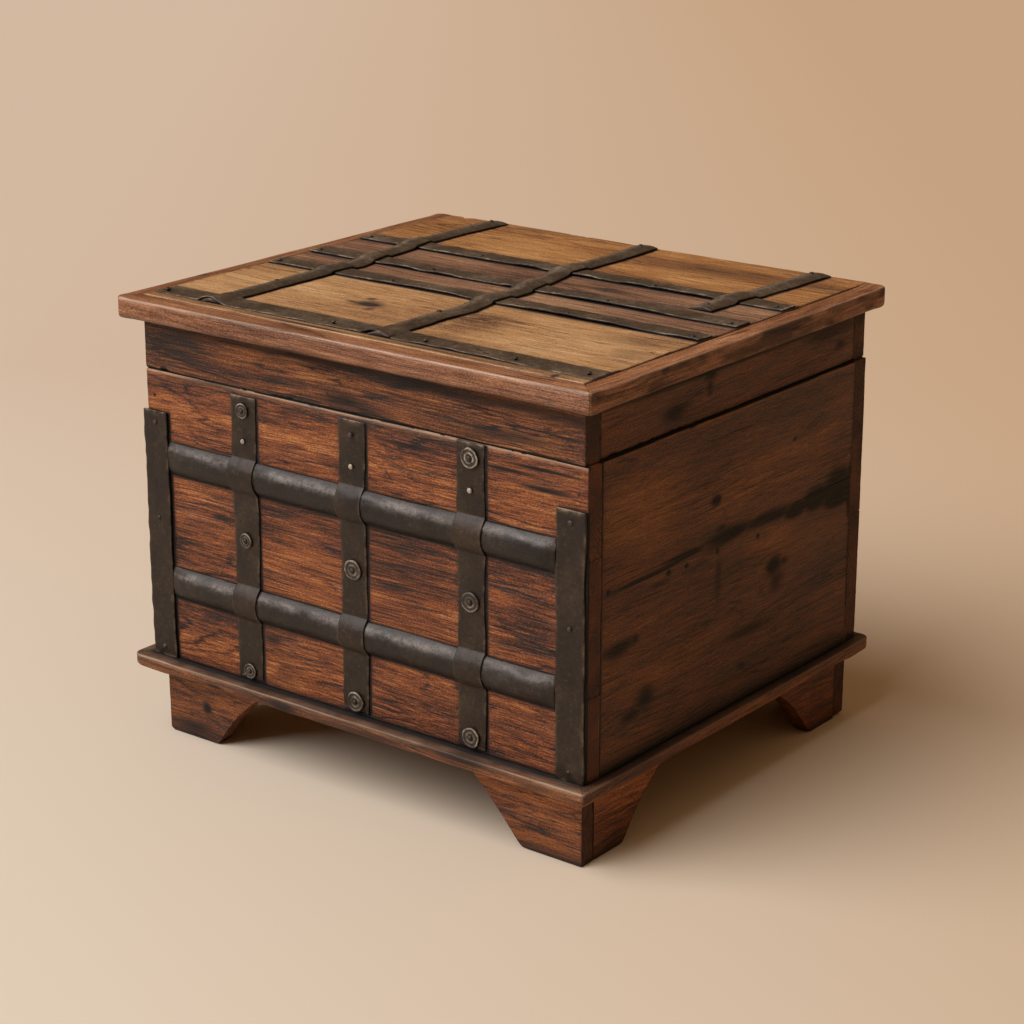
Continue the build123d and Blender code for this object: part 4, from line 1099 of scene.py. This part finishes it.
# ---------------------------------------------------------------- operators
class CHEST_OT_stage(bpy.types.Operator):
    """Pale studio floor, soft light and the camera"""

    bl_idname = "chest.stage"
    bl_label = "Studio"

    def execute(self, context):
        scene = context.scene
        colours, reach = scene.chest_colours, 14.0
        floor_mesh = bpy.data.meshes.new("studio_floor")
        floor_mesh.from_pydata([(sx * reach, sy * reach, 0) for sx, sy in CORNERS], [], [(0, 1, 2, 3)])
        floor = bpy.data.objects.new("studio_floor", floor_mesh)
        # Matt paper with painted light falloff: paler towards the front, browner to the back, and painted shade to
        # the right.
        material, add = new_material("matt_paper")
        here = add("TexCoord", out="Object")
        back, aside = (add("VectorMath", here, way, operation="DOT_PRODUCT", out="Value")
                       for way in ((-0.613, 0.79, 0), (0.79, 0.613, 0)))
        paper = add("MixRGB", add("MapRange", back, -0.6, 1.2), colours.floor_near, colours.floor_far)
        paper = add("MixRGB", add("MapRange", aside, -0.7, 0.8), paper, colours.floor_painted_shade)
        fleck = add("MapRange", stretched(add, here, (0.7, 0.7, 0.7)), 0.3, 0.7, 0.9, 1.0)
        close_material(add, {"Base Color": paper, "Roughness": fleck, "Specular IOR Level": 0.1})
        floor_mesh.materials.append(material)

        scene.world = world = bpy.data.worlds.new("studio")
        world.use_nodes = True
        world.node_tree.nodes.clear()
        add = partial(add_node, world.node_tree)
        high = add("SeparateXYZ", add("TexCoord", out="Generated"), out="Z")
        glow = add("ValToRGB", high, stops=zip((0.0, 1.0, 0.3), palette("#4c2a10 #f3d6ae #c28c52")))
        add("OutputWorld", add("Background", glow, 0.42))

        key = bpy.data.lights.new("key", "SUN")
        key.energy, key.angle, key.color = 3.58, radians(55), (0.92, 0.95, 1.0)
        lamp = bpy.data.objects.new("key", key)
        lamp.rotation_euler = (radians(43), 0, radians(-32))

        camera = bpy.data.cameras.new("camera")
        camera.lens, camera.sensor_width = 90.73, 36.0
        eye = bpy.data.objects.new("camera", camera)
        eye.location = (1.2992, -1.66325, 0.8953)
        eye.rotation_euler = (radians(71.63), 0, radians(37.81))
        for thing in (floor, lamp, eye):
            scene.collection.objects.link(thing)
        scene.camera = eye
        scene.view_settings.view_transform = "Standard"
        return {"FINISHED"}


class CHEST_OT_body_boards(bpy.types.Operator):
    """Worn front, side and back boards of the body"""

    bl_idname = "chest.body_boards"
    bl_label = "Body boards"

    def execute(self, context):
        sizes = context.scene.chest_sizes
        soft, hard, tight = sizes.body_arris, sizes.board_arris, 0.35 * MM
        # Arrises run: upper outer, lower outer, lower inner, upper inner.
        for number, name in enumerate(("lower", "middle", "upper")):
            top = name == "upper"
            radii = (soft, tight, hard, soft) if top else (tight, tight, hard, hard)
            # The upper plank's top outer arris is rubbed and painted as a bright highlight line.
            board(f"front_plank_{name}", "front", "body_teak", 101 + number, radii, (2.2 * top, 0, 0, 0), FINE,
                  grime=front_grime, marks=FRONT_MARKS, end_stain=0.3)
        for side, seed, step, marks in (("left", 150, COARSE, NO_MARKS), ("right", 152, FINE, SIDE_MARKS)):
            for top, radii in enumerate(((tight, hard, hard, tight), (soft, tight, tight, soft))):
                board(f"{side}_side_{'upper' if top else 'lower'}", side, "side_teak", seed + top, radii,
                      (0.5 * top, 0, 0, 0), step, 0.8, grime=foot_grime, marks=marks, end_stain=0.9)
        for top, radii in enumerate(((hard,) * 4, (soft, hard, hard, soft))):
            board(f"back_plank_{'upper' if top else 'lower'}", "back", "body_teak", 171 + top, radii,
                  grime=foot_grime)
        return {"FINISHED"}


class CHEST_OT_bottom(bpy.types.Operator):
    """Raw bottom planks and glue blocks"""

    bl_idname = "chest.bottom"
    bl_label = "Bottom"

    def execute(self, context):
        for number in (1, 2):
            board(f"bottom_plank_{number}", "top", "raw_wood", 201 + number)
        repaint(wood("raw_wood"), "foot_glue_blocks")
        return {"FINISHED"}


class CHEST_OT_base(bpy.types.Operator):
    """Base frame and bracket feet"""

    bl_idname = "chest.base"
    bl_label = "Base frame and feet"

    def execute(self, context):
        sizes = context.scene.chest_sizes
        # Top edges rubbed and painted as highlight, most at the front and left, towards the light.
        mitred_frame("base_rail", {"front": 1.3, "right": 0.6, "back": 0.5, "left": 0.9}, "base_teak",
                     (sizes.base_nose_top, sizes.base_nose_bottom), (2, 9), 301, grime=base_grime, dust=base_dust,
                     marks=BASE_MARKS)
        # Toe length, hollow and corner rounding of each foot's face board, then toe and hollow of its side board.
        feet = {("front", "left"): ((58, 7.5, 5), (57, 6.5)), ("front", "right"): ((60, 2.5, 1.5), (56, 6.5)),
                ("back", "left"): ((58, 6, 4), (57, 6.5)), ("back", "right"): ((58, 6, 4), (57, 7))}
        for (depth, side), (face_cut, side_cut) in feet.items():
            sx, sy = SIDES[side][1], SIDES[depth][1]
            seed = 331 + 7 * sx + 3 * sy
            foot_board(f"foot_{depth}_{side}_face", depth, sx, seed, *face_cut)
            foot_board(f"foot_{depth}_{side}_side", side, sy, seed + 50, *side_cut)
        return {"FINISHED"}


class CHEST_OT_lid_boards(bpy.types.Operator):
    """Lid skirt, planks and rim"""

    bl_idname = "chest.lid_boards"
    bl_label = "Lid boards"

    def execute(self, context):
        sizes = context.scene.chest_sizes
        soft, hard, tight = sizes.joint_arris, sizes.board_arris, 0.45 * MM
        marks = {"front": FRONT_MARKS, "right": SIDE_MARKS}
        for number, side in enumerate(("front", "back", "left", "right")):
            material, end_stain = ("skirt_teak", 0.5) if SIDES[side][0] else ("side_teak", 0.8)
            board(f"lid_skirt_{side}", side, material, 401 + number, (hard, soft, soft, hard), (0, 0.15, 0, 0),
                  FINE if side in marks else COARSE, marks=marks.get(side, NO_MARKS), end_stain=end_stain)
        planks = {"front": "tan_plank", "second": "mauve_plank", "third": "mauve_plank", "back": "orange_plank"}
        for number, (name, material) in enumerate(planks.items()):
            arrises = (sizes.nose_top, tight, tight, sizes.nose_bottom) if name == "back" else (tight,) * 4
            board(f"lid_plank_{name}", "top", material, 421 + number, arrises, (0.4, 0.2, 0, 0), FINE,
                  grime=lid_grime, marks=LID_MARKS)
        # Top edges rubbed and painted as highlight, most at the front and left, towards the light.
        mitred_frame("lid_rail", {"front": 1.1, "right": 0.5, "left": 0.9}, "rail_teak",
                     (sizes.nose_top, sizes.nose_bottom), (4, 8), 451, grime=rim_grime)
        return {"FINISHED"}


class CHEST_OT_front_iron(bpy.types.Operator):
    """Vertical straps and half-round bands of the front"""

    bl_idname = "chest.front_iron"
    bl_label = "Front ironwork"

    def execute(self, context):
        for number, name in enumerate(("left", "middle", "right")):
            front_strap(f"front_strap_{name}", True, 501 + number)
        for number, name in enumerate(("left", "right")):
            front_strap(f"corner_strap_{name}", False, 511 + number)
        for number, name in enumerate(("lower", "upper")):
            front_band(f"front_band_{name}", 521 + number)
        return {"FINISHED"}


class CHEST_OT_lid_iron(bpy.types.Operator):
    """Flat straps and crowned ribs of the lid"""

    bl_idname = "chest.lid_iron"
    bl_label = "Lid ironwork"

    def execute(self, context):
        for number, strap in enumerate(LID_STRAPS):
            lid_strap(strap, () if number else ("lid_rib_left", "lid_rib_middle"), 541 + number)
        for number, rib in enumerate(RIB_BENDS):
            lid_rib(rib, LID_STRAPS[3:] if rib == "lid_rib_right" else LID_STRAPS[1:], 551 + number)
        return {"FINISHED"}


class CHEST_OT_fasteners(bpy.types.Operator):
    """Rosettes, nails, brads and hinges"""

    bl_idname = "chest.fasteners"
    bl_label = "Rosettes, nails and hinges"

    def execute(self, context):
        rosettes("strap_rosettes", 601)
        nail_heads("carcase_strap_nails", 611)
        nail_heads("lid_strap_nails", 621)
        leaves = [f"hinge_{part}_leaf_{side}" for part in ("body", "lid") for side in ("left", "right")]
        repaint(iron("strap_iron"), "carcase_brads", "lid_skirt_brads", *leaves, "hinge_pins")
        return {"FINISHED"}


OPERATORS = (CHEST_OT_stage, CHEST_OT_body_boards, CHEST_OT_bottom, CHEST_OT_base, CHEST_OT_lid_boards,
             CHEST_OT_front_iron, CHEST_OT_lid_iron, CHEST_OT_fasteners)


class CHEST_PT_panel(bpy.types.Panel):
    """Buttons that build the chest's pieces"""

    bl_idname = "CHEST_PT_panel"
    bl_label = "Damchiya chest"
    bl_space_type = "VIEW_3D"
    bl_region_type = "UI"
    bl_category = "Chest"

    def draw(self, context):
        for operator in OPERATORS:
            self.layout.operator(operator.bl_idname)


CLASSES = (ChestSizes, ChestColours, *OPERATORS, CHEST_PT_panel)


def register():
    for cls in CLASSES:
        bpy.utils.register_class(cls)
    bpy.types.Scene.chest_sizes = bpy.props.PointerProperty(type=ChestSizes)
    bpy.types.Scene.chest_colours = bpy.props.PointerProperty(type=ChestColours)


def unregister():
    del bpy.types.Scene.chest_colours
    del bpy.types.Scene.chest_sizes
    for cls in reversed(CLASSES):
        bpy.utils.unregister_class(cls)


def main():
    """Build the chest."""
    register()
    for operator in OPERATORS:
        group, name = operator.bl_idname.split(".")
        getattr(getattr(bpy.ops, group), name)()


if __name__ == "__main__":
    main()
